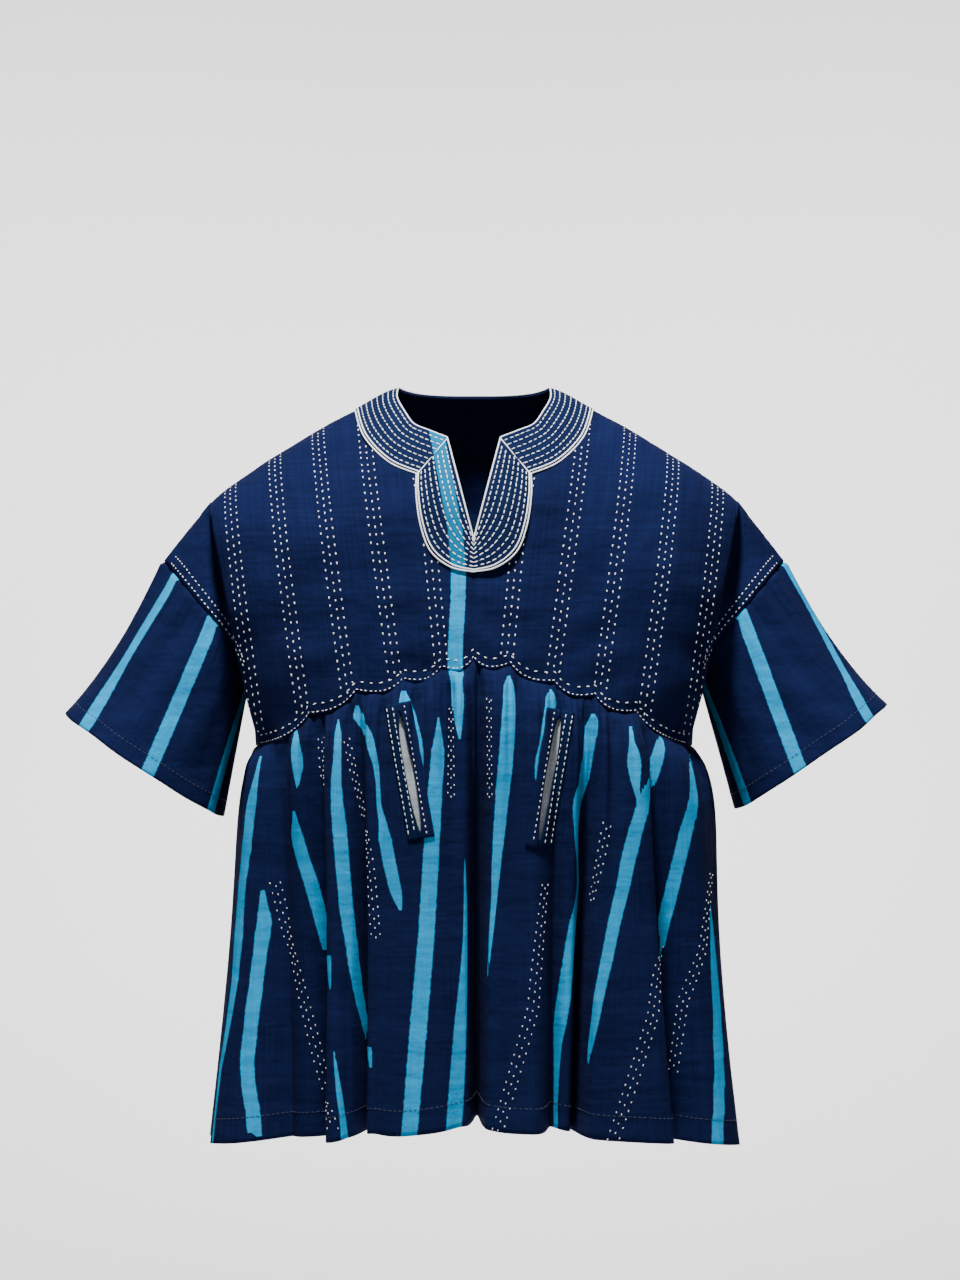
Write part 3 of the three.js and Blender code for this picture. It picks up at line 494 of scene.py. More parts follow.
slit_edge = edge_curve(SLIT_EDGE)
neck_edge = edge_curve(NECK_EDGE)
slit_band_edge = edge_curve(SLIT_BAND_EDGE)
neck_band_edge = edge_curve(NECK_BAND_EDGE)
nape_edge = edge_curve(NAPE_EDGE)
nape_band_edge = edge_curve(NAPE_BAND_EDGE)
ARMHOLE_CURVES = {outward: armhole_curve(outward) for outward in (FRONT, BACK)}


def armhole_point(outward, sign, share):
    point = ARMHOLE_CURVES[outward](np.clip(share, 0, 1))
    point[..., 0] *= sign
    return point


def shoulder_height(x):
    return read(SHOULDER, "across", "height", np.abs(x))


def nape_height(outward, x):
    return NAPE_RISE * np.maximum(0, 1 - (x / NAPE_HALF) ** 2) * (outward == BACK)


def shoulder_fall(outward, x, z):
    """How far below the shoulder line a place lies: 0 on the line, 1 where the cloth is upright."""
    return np.clip((shoulder_height(x) + nape_height(outward, x) - z) / SHOULDER_FALL, 0, 1)


def torso_point(outward, x, z):
    """A point of the chest or back, given where it lies in the front view."""
    x, z = np.broadcast_arrays(np.asarray(x, float), np.asarray(z, float))
    wide = np.minimum(np.abs(x) / read(TORSO, "height", "half", z), 1)
    depth = read(TORSO, "height", FACE_NAMES[outward], z) * (1 - wide**TORSO_ROUND) ** (1 / TORSO_ROUND)
    reach = np.sqrt(1 - (1 - shoulder_fall(outward, x, z)) ** SHOULDER_ROUND)
    return np.stack([x, SHOULDER_Y + (outward * depth - SHOULDER_Y) * reach, z], -1)


def seam_step(outward, sign, step):
    """Across and height of the gather seam, by grid step from the middle."""
    table = SCALLOPS[sign]
    stops = np.array(table["step"], float)
    i = np.clip(np.searchsorted(stops, step, side="right") - 1, 0, len(stops) - 2)
    share = (step - stops[i]) / (stops[i + 1] - stops[i])
    across = np.interp(step, stops, table["across"])
    dip = SCALLOP_DIP * np.sin(np.pi * np.clip(share, 0, 1) ** SCALLOP_LEAN)
    height = np.interp(step, stops, table["height"]) - dip
    if outward == BACK:
        height = SIDE_FOOT[1] + (height - SIDE_FOOT[1]) * BACK_ARCH
    return across, height


def seam_step_at(sign, across):
    """The grid step of the gather seam at a distance across from the middle."""
    return np.interp(across, SCALLOPS[sign]["across"], SCALLOPS[sign]["step"])


def fold_point(outward, sign, column):
    """The line of the fold beside the arm, by grid column."""
    column = np.asarray(column, float)
    rise = np.clip((column - SEAM_END) / (SHOULDER_COLUMN - SEAM_END), 0, 1)
    height = lerp(FOLD["height"][-1], FOLD["height"][0], (1 - rise) ** FOLD_CROWDING)
    across = read(FOLD, "height", "across", height)
    foot_across, foot_height = seam_step(outward, sign, np.full(column.shape, float(SEAM_STEPS)))
    at_foot = column <= SEAM_END
    z = np.where(at_foot, foot_height, np.where(rise >= 1, shoulder_height(across), height))
    return torso_point(outward, sign * np.where(at_foot, foot_across, across), z)


def cap_edge_point(outward, sign, column):
    """Side seam below the underarm, armhole seam above it."""
    column = np.asarray(column, float)
    rise = (column - UNDERARM_COLUMN) / (SHOULDER_COLUMN - UNDERARM_COLUMN)
    share = (column - SEAM_END) / (UNDERARM_COLUMN - SEAM_END)
    side = np.stack(
        [
            sign * lerp(SIDE_FOOT[0], UNDERARM[0], share),
            np.zeros(column.shape),
            lerp(SIDE_FOOT[1], UNDERARM[1], share),
        ],
        -1,
    )
    return np.where((rise >= 0)[..., None], armhole_point(outward, sign, rise), side)


def cap_point(outward, sign, column, row):
    """The strip between the fold and the armhole, which dips behind the fold."""
    column, row = np.broadcast_arrays(np.asarray(column, float), np.asarray(row, float))
    share = row / CAP_ROWS
    fold = fold_point(outward, sign, column)
    point = lerp(fold, cap_edge_point(outward, sign, column), (share**CAP_SPREAD)[..., None])
    near_top = smooth(SHOULDER_COLUMN - 2, SHOULDER_COLUMN, column) * (1 - smooth(0.4, 1, share))
    point[..., 2] = lerp(point[..., 2], shoulder_height(point[..., 0]), near_top)
    along = (column - FOLD_DIP[0]) / (FOLD_DIP[1] - FOLD_DIP[0])
    dip = FOLD_DEPTH * np.sin(np.pi * along) * np.sin(np.pi * np.clip(share, 0, 1) ** CAP_HOLLOW)
    inward = np.array([-sign, -outward, 0]) / math.sqrt(2)
    return point + inward * dip[..., None]


def grain(outward, x, z):
    """How far a place of the chest lies from the middle thread, in the cloth's own terms."""
    if outward == BACK:
        lean = np.clip(GRAIN_LEAN * (z - GRAIN_FOOT), 0, None) * smooth(0, GRAIN_SETTLE, np.abs(x))
        return x - np.sign(x) * lean
    opening = np.maximum(0, SLIT_OPEN * (z - SLIT_FOOT))
    beyond = np.abs(x) - opening
    lean = opening + (GRAIN_LEAN * (z - GRAIN_FOOT) - opening) * np.clip(beyond / GRAIN_SETTLE, 0, 1)
    return np.sign(x) * (np.abs(x) - lean)


def chest_relief(outward, x, z):
    """Small forms of the chest and back: sunk dotted lines, soft drags and puckers over the seam."""
    cloth = grain(outward, x, z)
    seam = seam_step(outward, RIGHT, seam_step_at(RIGHT, np.abs(x)))[1]
    above = np.maximum(z - seam, 0)
    wide = RELIEF_BREADTH
    beat = np.sin(z / 8.5 + 2.2 * np.sin(x / 33.0) + 1.4 * np.sin(z / 41.0))
    forms = {
        "sunk": sum(np.exp(-((np.abs(cloth) - line) / wide["sunk"]) ** 2) for line in CHEST_LINES),
        "pucker": np.exp(-above / wide["pucker"]) * np.sin(x / 3.1 + 2.0 * np.sin(x / 17.0)),
        "drag": np.sin((np.abs(x) * 0.62 + z) / 15.0 + 1.3 * np.sin(x / 61.0)) * smooth(90, 190, np.abs(x)),
        "ripple": beat * np.sin(x / 27.0 + z / 90.0),
        "swell": np.sin(x / 44.0 + 0.8 * np.sin(z / 37.0)) * np.cos(z / 52.0 + x / 130.0),
        "rolled": np.exp(-above / wide["rolled"]),
        "middle": np.exp(-((cloth / wide["middle"]) ** 2)),
    }
    return sum(RELIEF[name] * form for name, form in forms.items())


@dataclass
class Patch:
    """One grid of cloth: points in rows, their place in the weave, and how far a stripe lies."""

    points: np.ndarray
    weave: np.ndarray
    stripe: np.ndarray
    turned: bool = False
    extra: np.ndarray = None
    gaps: np.ndarray = None


def band_edges(outward, columns):
    if outward == BACK:
        share = columns / SHOULDER_COLUMN
        return nape_edge(share), nape_band_edge(share)
    slit = np.clip(columns / MITRE_COLUMN, 0, 1)
    neck = np.clip((columns - MITRE_COLUMN) / (SHOULDER_COLUMN - MITRE_COLUMN), 0, 1)
    at_slit = (columns <= MITRE_COLUMN)[..., None]
    inner = np.where(at_slit, slit_edge(slit), neck_edge(neck))
    outer = np.where(at_slit, slit_band_edge(slit), neck_band_edge(neck))
    return inner, outer


def panel_place(outward, sign, columns, rows):
    """Across and height of a place of the chest or back, by grid column and row."""
    columns, rows = np.broadcast_arrays(np.asarray(columns, float), np.asarray(rows, float))
    inner, middle = band_edges(outward, columns)
    seam = np.stack(seam_step(outward, sign, 2 * np.minimum(columns, SEAM_END)), -1)
    fold = fold_point(outward, RIGHT, columns)[..., [0, 2]]
    outer = np.where((columns <= SEAM_END)[..., None], seam, fold)
    near = lerp(inner, middle, (rows / BAND_ROWS)[..., None])
    far = lerp(middle, outer, ((rows - BAND_ROWS) / (PANEL_ROWS - BAND_ROWS))[..., None])
    return np.where((rows <= BAND_ROWS)[..., None], near, far)


def panel_point(outward, sign, columns, rows):
    columns, rows = np.broadcast_arrays(np.asarray(columns, float), np.asarray(rows, float))
    place = panel_place(outward, sign, columns, rows)
    shoulder = panel_place(outward, sign, np.full(rows.shape, float(SHOULDER_COLUMN)), rows)
    lift = shoulder_height(shoulder[..., 0]) - shoulder[..., 1]
    lift = np.where((rows <= 0) | (rows >= PANEL_ROWS), 0, lift)
    near = np.clip((columns - MITRE_COLUMN) / (SHOULDER_COLUMN - MITRE_COLUMN), 0, None) ** 2
    return torso_point(outward, sign * place[..., 0], place[..., 1] + lift * near)


def raised(outward, point):
    """The point moved out by the small forms of the chest there."""
    x, z = point[..., 0], point[..., 2]
    fall = shoulder_fall(outward, x, z)
    top = RELIEF_ON_TOP
    on_top = top["share"] * (1 - smooth(*top["fall"], fall)) * smooth(*top["across"], np.abs(x))
    moved = point.copy()
    moved[..., 1] += outward * chest_relief(outward, x, z) * smooth(*RELIEF_START, fall)
    moved[..., 2] += chest_relief(FRONT, x, z) * on_top
    return moved


def is_turned(outward, sign):
    """Whether a grid that runs out from the middle has its faces the wrong way round."""
    return (sign == LEFT) != (outward == BACK)


def chest_stripe(outward, x, z):
    path = np.array(CHEST_STRIPE)[::-1]
    middle = np.interp(z, path[:, 1], path[:, 0]) if outward == FRONT else BACK_STRIPE
    return np.abs(x - middle)


def chest_patch(outward, sign, columns, rows):
    point = panel_point(outward, sign, columns[None, :], rows[:, None])
    x, z = point[..., 0], point[..., 2]
    weave = np.stack([grain(outward, x, z), z], -1)
    return Patch(raised(outward, point), weave, chest_stripe(outward, x, z), is_turned(outward, sign))


def cap_patch(outward, sign, columns, rows):
    point = cap_point(outward, sign, columns[None, :], rows[:, None])
    x, z = point[..., 0], point[..., 2]
    ease = 1 - smooth(CAP_ROWS - 1, CAP_ROWS, rows)[:, None] * np.ones(len(columns))
    lifted = raised(outward, point)
    point = lerp(point, lifted, ease[..., None])
    weave = np.stack([grain(outward, x, z), z], -1)
    stripe = np.full(x.shape, NO_STRIPE)
    return Patch(point, weave, stripe, is_turned(outward, sign))


def bodice_patches(outward):
    fine = BODICE_MESH
    low = np.linspace(0, SEAM_END, SEAM_END * fine["low_columns"] + 1)
    high_count = (SHOULDER_COLUMN - SEAM_END) * fine["high_columns"] + 1
    high = np.linspace(SEAM_END, SHOULDER_COLUMN, high_count)
    columns = np.concatenate([low, high[1:]])
    band_rows = np.linspace(0, BAND_ROWS, fine["band_rows"])
    panel_rows = np.linspace(BAND_ROWS, PANEL_ROWS, fine["panel_rows"])
    rows = np.concatenate([band_rows, panel_rows[1:]])
    cap_rows = np.linspace(0, CAP_ROWS, fine["cap_rows"])
    patches = []
    for sign in (LEFT, RIGHT):
        patches.append(chest_patch(outward, sign, columns, rows))
        patches.append(cap_patch(outward, sign, high, cap_rows))
    return patches


def band_patch(outward, sign, first, last, striped):
    columns = np.linspace(first, last, int((last - first) * BAND_MESH["columns"]) + 1)
    rows = np.linspace(0, BAND_ROWS, BAND_MESH["rows"])
    point = panel_point(outward, sign, columns[None, :], rows[:, None])
    x, z = point[..., 0], point[..., 2]
    stripe = chest_stripe(outward, x, z) if striped else np.full(x.shape, NO_STRIPE)
    swell = BAND_SWELL * np.sin(np.pi * rows / BAND_ROWS)[:, None] * np.ones(len(columns))
    point[..., 1] += outward * swell
    across = np.broadcast_to(rows[:, None] * BAND_ROW_WIDTH, x.shape)
    weave = np.stack([across, arc_along(point)], -1)
    return Patch(point, weave, stripe, is_turned(outward, sign))


def seam_line(outward, column):
    """The whole gather seam of one face, by skirt column from the left side seam to the right."""
    from_middle = column - SKIRT_COLUMNS / 2
    step = np.minimum(np.abs(from_middle), SEAM_STEPS)
    cap_row = np.clip(np.abs(from_middle) - SEAM_STEPS, 0, None) / 2
    line = np.zeros((len(column), 3))
    for sign in (LEFT, RIGHT):
        across, height = seam_step(outward, sign, step)
        inner = torso_point(outward, sign * across, height)
        outer = cap_point(outward, sign, np.full(len(column), float(SEAM_END)), cap_row)
        whole = np.where((cap_row > 0)[:, None], outer, inner)
        mine = from_middle * sign >= 0
        line[mine] = whole[mine]
    return line


def hem_ring(outward, angle):
    """The hem ring by angle from the middle: its point, and the way out of it there."""
    depth = HEM[FACE_NAMES[outward]]
    power = HEM["round"]
    s = np.sin(angle) / HEM["half"]
    c = np.cos(angle) / depth
    radius = (np.abs(s) ** power + np.abs(c) ** power) ** (-1 / power)
    out_across = np.sign(s) * np.abs(s) ** (power - 1) / HEM["half"]
    out_forward = outward * np.abs(c) ** (power - 1) / depth
    at = np.stack([radius * np.sin(angle), outward * radius * np.cos(angle), 0 * s], -1)
    return at, unit(np.stack([out_across, out_forward, 0 * s], -1))


def hem_fold(outward, share):
    """Where a share of the skirt's width lies in the hem, and how far out its fold stands."""
    table = HEM_FOLDS[outward]
    stops = np.array(table["share"], float)
    turns = np.linspace(-math.pi / 2, math.pi / 2, 2001)
    angles = np.interp(table["across"], hem_ring(outward, turns)[0][:, 0], turns)
    outs = np.array(table["out"], float)
    i = np.clip(np.searchsorted(stops, share, side="right") - 1, 0, len(stops) - 2)
    t = (share - stops[i]) / (stops[i + 1] - stops[i])
    rising = outs[i + 1] > outs[i]
    leave = np.where(rising, VALLEY_BREADTH, RIDGE_BREADTH)
    arrive = np.where(rising, RIDGE_BREADTH, VALLEY_BREADTH)
    eased = t * t * (3 - 2 * t) + leave * t * (1 - t) ** 2 + arrive * t * t * (t - 1)
    pinched = np.where(rising, np.sin(np.pi / 2 * t), 1 - np.cos(np.pi / 2 * t))
    height = lerp((1 - np.cos(np.pi * t)) / 2, pinched, VALLEY_PINCH[outward])
    return lerp(angles[i], angles[i + 1], eased), lerp(outs[i], outs[i + 1], height)


def wave(table, share, fall, shift):
    """Gathers that start at the seam and run out further down, with round ridges and pinched valleys."""
    swell = np.minimum(fall / table["start"], 1) * np.maximum(0, 1 - fall / table["end"]) ** 1.5
    turn = np.pi * table["count"] * share + shift / 2
    form = GATHER_FORM["height"] * np.sqrt(np.sin(turn) ** 2 + GATHER_FORM["pinch"]) - GATHER_FORM["sunk"]
    return table["depth"] * form * swell


def skirt_points(outward, column, fall):
    """The skirt in rows of fall, from seam to hem, and columns from the left side seam."""
    share = column / SKIRT_COLUMNS
    top = seam_line(outward, column)[None, :, :]
    angle, out = hem_fold(outward, share)
    at, way = hem_ring(outward, angle)
    f = fall[:, None]
    drift = GATHER_DRIFT * np.sin(7.0 * np.pi * share[None, :] + 2.0 * f) * smooth(0.0, 0.5, f)
    gather = wave(GATHERS, share[None, :], f, 0.0)
    small = wave(SMALL_GATHERS, share[None, :], f, 2.1 * np.sin(19.0 * share)[None, :] + drift)
    edge = np.sin(np.pi / 2 * np.minimum(np.minimum(share, 1 - share) * SIDE_SHARE, 1))[None, :]
    puff = np.where(share < 0.5, PUFF[LEFT], PUFF[RIGHT])[None, :]
    bulge = puff * (f / PUFF["peak"]) * np.exp(1 - f / PUFF["peak"])
    turn = 23.0 * np.pi * share[None, :] + 3.0 * f + 2.0 * np.sin(9.0 * share)[None, :]
    crease = FOLD_CREASE * np.sin(turn) * smooth(0.25, 0.8, f) * edge
    growth = np.where(out < 0, VALLEY_GROWTH[outward], RIDGE_GROWTH)[None, :]
    reach = bulge + (gather + small) * edge + out[None, :] * f**growth + crease
    point = lerp(top, at[None, :, :], f[..., None]) + way[None, :, :] * reach[..., None]
    hem = lerp(HEM["side"], HEM["middle"], np.cos(angle) ** 2)[None, :]
    hem = hem - HEM_RISE * np.sin(11.0 * np.pi * share + 0.6)[None, :] * edge
    point[..., 2] = lerp(top[..., 2], hem, f)
    at_side = (column == 0) | (column == SKIRT_COLUMNS)
    point[:, at_side, 1] = lerp(top[..., at_side, 1], 0, f)
    return point


def arc_along(points):
    """Length along each row of a grid, from its first column."""
    steps = np.linalg.norm(np.diff(points, axis=1), axis=2)
    return np.concatenate([np.zeros((len(points), 1)), np.cumsum(steps, axis=1)], axis=1)


def follow(points, arc, path):
    """Length along each row at which a path of the front view meets the foremost cloth, where it does."""
    across, height = np.array(path[::-1], float).T[:2]
    found = np.full(len(points), np.nan)
    for r, row in enumerate(points):
        x, y, z = row.T
        off = x - np.interp(z, height, across)
        hits = np.flatnonzero(off[:-1] * off[1:] <= 0)
        hits = hits[(z[hits] >= height[0]) & (z[hits] <= height[-1])]
        if len(hits):
            pick = hits[np.argmin(y[hits])]
            share = off[pick] / (off[pick] - off[pick + 1] + 1e-9)
            found[r] = lerp(arc[r, pick], arc[r, pick + 1], share)
    if np.isnan(found).all():
        raise RuntimeError("a path never meets the cloth")
    return found


def foremost(points):
    """How far each place of a grid lies behind the foremost cloth of its own row, seen from the front."""
    behind = np.zeros(points.shape[:2])
    for r, (x, y, _) in enumerate(points.transpose(0, 2, 1)):
        spots = np.arange(np.floor(x.min()), np.ceil(x.max()) + 1)
        front = np.full(len(spots), np.inf)
        for c in range(len(x) - 1):
            a, b = (c, c + 1) if x[c] <= x[c + 1] else (c + 1, c)
            under = slice(int(np.ceil(x[a] - spots[0])), int(np.floor(x[b] - spots[0])) + 1)
            front[under] = np.minimum(front[under], np.interp(spots[under], (x[a], x[b]), (y[a], y[b])))
        reached = np.isfinite(front)
        behind[r] = np.maximum(y - np.interp(x, spots[reached], front[reached]), 0)
    return behind


def stripe_on_front(points, arc, hidden, steep, path):
    """How far each place lies from the middle of a stripe drawn in the front view."""
    across, height, width = np.array(path[::-1], float).T
    x, z = points[..., 0], points[..., 2]
    width = np.interp(z, height, width)
    away = np.abs(x - np.interp(z, height, across)) * STRIPE_FULL / np.maximum(width, LEAST_STRIPE)
    away = away * np.maximum(1, STRIPE_STEEP / steep) + np.maximum(hidden - STRIPE_BEHIND, 0)
    centre = follow(points, arc, path)
    beyond = np.abs(arc - centre[:, None]) - STRIPE_REACH
    away = away + np.where(np.isnan(beyond), 0, np.maximum(beyond, 0)) * STRIPE_END
    return np.where((z > height[-1]) | (z < height[0]), NO_STRIPE, away)


def skirt_columns():
    return np.linspace(0, SKIRT_COLUMNS, SKIRT_COLUMNS * SKIRT_MESH["columns"] + 1)


def skirt_falls():
    return np.linspace(0, 1, SKIRT_MESH["rows"]) ** SKIRT_MESH["crowding"]


def skirt_grid(outward):
    return skirt_points(outward, skirt_columns(), skirt_falls())


def pocket_frame(sign):
    """A pocket's mouth: its upper end, the way down it, the way out from the middle, and its length."""
    start, end = (np.array(p, float) for p in POCKETS[sign])
    down = end - start
    length = float(np.linalg.norm(down))
    out = np.array([-down[1], down[0]]) / length
    out *= sign * np.sign(out[0])
    return start, down, out, length


def mouth_half(share):
    """Half the width of a mouth, by share down it."""
    return MOUTH_HALF * np.sqrt(np.sin(np.pi * np.clip(share, 0, 1)))


def inside_mouth(x, z):
    """Which places of the front view lie in a pocket's slit."""
    hit = np.zeros(x.shape, bool)
    for sign in (LEFT, RIGHT):
        start, down, _, length = pocket_frame(sign)
        way = down / length
        share = ((x - start[0]) * way[0] + (z - start[1]) * way[1]) / length
        off = np.abs((x - start[0]) * way[1] - (z - start[1]) * way[0])
        hit |= (share > 0) & (share < 1) & (off < mouth_half(share) + MOUTH_CLEAR)
    return hit


def skirt_stripe(outward, points):
    """How far each place of the skirt lies from the middle of its nearest stripe."""
    arc = arc_along(points)
    if outward == FRONT:
        hidden = foremost(points)
        steep = np.abs(grid_ways(points)[..., 1]) + 0.02
        drawn = [stripe_on_front(points, arc, hidden, steep, path) for path in SKIRT_STRIPES]
        return np.min(drawn, axis=0)
    nearest = np.full(arc.shape, NO_STRIPE)
    share = np.linspace(0, 1, points.shape[1])
    for at in BACK_STRIPES:
        centre = np.array([np.interp(at, share, run) for run in arc])
        nearest = np.minimum(nearest, np.abs(arc - centre[:, None]))
    gathered = smooth(0.0, STRIPE_START["fall"], skirt_falls())
    return nearest / (STRIPE_START["width"] + (1 - STRIPE_START["width"]) * gathered)[:, None]


def turned_up(reach, depth):
    """Extra thickness of the cloth where its edge is turned up, by distance from that edge."""
    return smooth(depth / MM + HEM_EDGE, depth / MM - HEM_EDGE, reach) * TURNED_UP


def skirt_patch(outward, sizes):
    points = skirt_grid(outward)
    arc = arc_along(points)
    share = np.linspace(0, 1, points.shape[1])
    weave = np.stack([np.broadcast_to(share * arc[-1, -1], arc.shape), points[..., 2]], -1)
    stripe = skirt_stripe(outward, points)
    extra = turned_up(points[..., 2] - points[-1:, :, 2], sizes.hem_depth)
    tucked = []
    for tuck_share, inward in TUCK_ROWS:
        row = points[0].copy()
        row[:, 1] -= outward * inward * np.sqrt(np.maximum(0, 1 - (row[:, 0] / TUCK_TURN[1]) ** 4))
        row[:, 0] -= np.sign(row[:, 0]) * inward * smooth(*TUCK_TURN, np.abs(row[:, 0]))
        row[:, 2] += TUCK * tuck_share
        tucked.append(row)
    added = len(TUCK_ROWS) - 1
    points = np.vstack([np.array(tucked), points[1:]])
    weave = np.vstack([np.repeat(weave[:1], added, axis=0), weave])
    stripe = np.vstack([np.repeat(stripe[:1], added, axis=0), stripe])
    extra = np.vstack([np.zeros((added, extra.shape[1])), extra])
    gaps = None
    if outward == FRONT:
        middle = (points[:-1, :-1] + points[1:, :-1] + points[1:, 1:] + points[:-1, 1:]) / 4
        gaps = inside_mouth(middle[..., 0], middle[..., 2])
    return Patch(points, weave, stripe, outward == BACK, extra, gaps)


def sleeve_points(sign, steps, falls):
    """The sleeve as a tube: steps run round it from the shoulder line, falls run to its opening."""
    outer, inner = (
        np.array([sign * across, CUFF_MIDDLE, height])
        for across, height in (CUFFS[sign]["outer"], CUFFS[sign]["inner"])
    )
    middle = (outer + inner) / 2
    power = 2 / CUFF_ROUND
    points = np.zeros((len(falls), len(steps), 3))
    for k, step in enumerate(steps):
        outward = FRONT if step <= SLEEVE_STEPS else BACK
        share = (step if step <= SLEEVE_STEPS else 2 * SLEEVE_STEPS - step) / SLEEVE_STEPS
        turn = math.pi * share
        seam = armhole_point(outward, sign, np.array(1 - share))
        along = math.copysign(abs(math.cos(turn)) ** power, math.cos(turn))
        cuff = middle + (outer - middle) * along
        cuff[1] += outward * CUFF_DEPTH * abs(math.sin(turn)) ** power
        way = np.array([sign * math.cos(turn), outward * math.sin(turn), 0])
        head = math.cos(turn / 2) ** 2
        swell = np.where(falls > 0, np.maximum(0, 1 - falls / SLEEVE_GATHERS["end"]) * head, 0)
        beat = math.cos(math.pi * step) + 0.35 * math.cos(3.0 * math.pi * step + 0.7)
        gather = SLEEVE_GATHERS["depth"] * beat * swell
        slack = SLEEVE_SLACK * np.sin(2.1 * step + 3.0 * falls) * np.sin(np.pi * falls) * math.sin(turn)
        hem_wave = SLEEVE_HEM_WAVE * math.sin(1.35 * step + sign) * falls**2 * math.sin(turn)
        line = lerp(seam, cuff, falls[:, None]) + way * (gather + slack + hem_wave)[:, None]
        line[:, 2] -= SLEEVE_SAG * 4 * falls * (1 - falls) * head
        points[:, k] = line
    return points


def sleeve_steps():
    return np.linspace(0, 2 * SLEEVE_STEPS, 2 * SLEEVE_STEPS * SLEEVE_MESH["steps"] + 1)


def sleeve_falls():
    return np.linspace(0, 1, SLEEVE_MESH["rows"])


def sleeve_patch(sign, sizes):
    steps, falls = sleeve_steps(), sleeve_falls()
    points = sleeve_points(sign, steps, falls)
    arc = arc_along(points)
    share = np.linspace(0, 1, len(steps))
    length = np.linalg.norm(points[-1] - points[0], axis=1).mean()
    round_it = np.broadcast_to(share * arc[-1, -1], arc.shape)
    down_it = np.broadcast_to(falls[:, None] * length, arc.shape)
    weave = np.stack([round_it, down_it], -1)
    front = np.flatnonzero(steps <= SLEEVE_STEPS)
    centres = [follow_down(points, arc, path, front) for path in SLEEVE_STRIPES[sign]]
    for at in SLEEVE_BACK_STRIPES:
        centres.append(np.array([np.interp(2 * SLEEVE_STEPS - at, steps, run) for run in arc]))
    stripe = np.min([np.abs(arc - centre[:, None]) for centre in centres], axis=0)
    extra = np.broadcast_to(turned_up((1 - falls)[:, None] * length, sizes.cuff_depth), arc.shape)
    middle = points[0].mean(axis=0)
    inner = points[0] + (middle - points[0]) * SLEEVE_TUCK["share"]
    inner[:, 0] -= sign * SLEEVE_TUCK["inward"]
    edge = points[0] + (middle - points[0]) * SLEEVE_TUCK["edge_share"]
    points = np.vstack([inner[None], edge[None], points[1:]])
    weave = np.vstack([weave[:1], weave])
    stripe = np.vstack([stripe[:1], stripe])
    extra = np.vstack([np.zeros((1, extra.shape[1])), extra])
    return Patch(points, weave, stripe, sign == RIGHT, extra)


def eased_rows(values, reach=4):
    """A run of values with its small jumps smoothed away."""
    padded = np.pad(values, reach, mode="edge")
    return np.convolve(padded, np.ones(2 * reach + 1) / (2 * reach + 1), mode="valid")


def follow_down(points, arc, path, columns):
    """As follow, for rows that slant: the path is a straight line that runs on at both ends."""
    (x0, z0), (x1, z1) = path
    found = np.full(len(points), np.nan)
    for r in range(len(points)):
        x, _, z = points[r, columns].T
        off = x - (x0 + (x1 - x0) * (z - z0) / (z1 - z0))
        hits = np.flatnonzero(off[:-1] * off[1:] <= 0)
        i = hits[0] if len(hits) else min(int(np.argmin(np.abs(off))), len(off) - 2)
        share = np.clip(off[i] / (off[i] - off[i + 1] + 1e-9), 0, 1)
        run = arc[r, columns]
        found[r] = lerp(run[i], run[i + 1], share) / arc[r, -1]
    return eased_rows(found) * arc[:, -1]


# Meshes

TREES = {}  # outer side of each piece made so far, for what is laid or sewn on it


def normals_of(points, faces):
    """Directions out of a mesh at its points."""
    a, b, c, d = (points[faces[:, k]] for k in range(4))
    cross = np.cross(c - a, d - b)
    total = np.zeros(points.shape)
    for k in range(4):
        np.add.at(total, faces[:, k], cross)
    return unit(total)


def grid_faces(rows, columns, start=0, turned=False, gaps=None):
    a = np.arange(rows - 1)[:, None] * columns + np.arange(columns - 1)[None, :]
    faces = np.stack([a, a + columns, a + columns + 1, a + 1], -1)
    if gaps is not None:
        faces = faces[~gaps]
    faces = faces.reshape(-1, 4) + start
    return faces[:, ::-1] if turned else faces


def grid_ways(points, turned=False):
    """Directions out of a grid at its points."""
    faces = grid_faces(*points.shape[:2], turned=turned)
    return normals_of(points.reshape(-1, 3), faces).reshape(points.shape)


def welded(patches):
    """All grids in one mesh, with points that fall on one place made one."""
    points = np.vstack([p.points.reshape(-1, 3) for p in patches])
    weave = np.vstack([p.weave.reshape(-1, 2) for p in patches])
    stripe = np.concatenate([p.stripe.ravel() for p in patches])
    extra = np.concatenate(
        [np.zeros(p.stripe.size) if p.extra is None else p.extra.ravel() for p in patches]
    )
    faces, start = [], 0
    for p in patches:
        rows, columns = p.stripe.shape
        faces.append(grid_faces(rows, columns, start, p.turned, p.gaps))
        start += rows * columns
    faces = np.vstack(faces)
    places = np.round(points / WELD).astype(np.int64)
    _, first, owner = np.unique(places, axis=0, return_index=True, return_inverse=True)
    owner = owner.reshape(-1)
    faces = owner[faces]
    whole = np.array([len(set(f)) == 4 for f in faces.tolist()])
    return points[first], weave[first], stripe[first], extra[first], faces[whole]


def open_edges(faces, count):
    """Edges that only one face has, in the direction in which they run round it."""
    starts = faces.ravel()
    ends = np.roll(faces, -1, axis=1).ravel()
    forward = starts * count + ends
    backward = ends * count + starts
    alone = ~np.isin(forward, backward)
    return starts[alone], ends[alone]


def new_mesh(name, points, faces, smooth_faces):
    """A mesh from points in millimetres, whose first faces are smooth."""
    mesh = bpy.data.meshes.new(name)
    mesh.from_pydata((points * MM).tolist(), [], faces)
    mesh.polygons.foreach_set("use_smooth", np.arange(len(faces)) < smooth_faces)
    mesh.update()
    return mesh


def new_object(name, mesh, finish):
    piece = bpy.data.objects.new(name, mesh)
    bpy.context.scene.collection.objects.link(piece)
    mesh.materials.append(finish_named(finish))
    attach(piece, "root")
    return piece


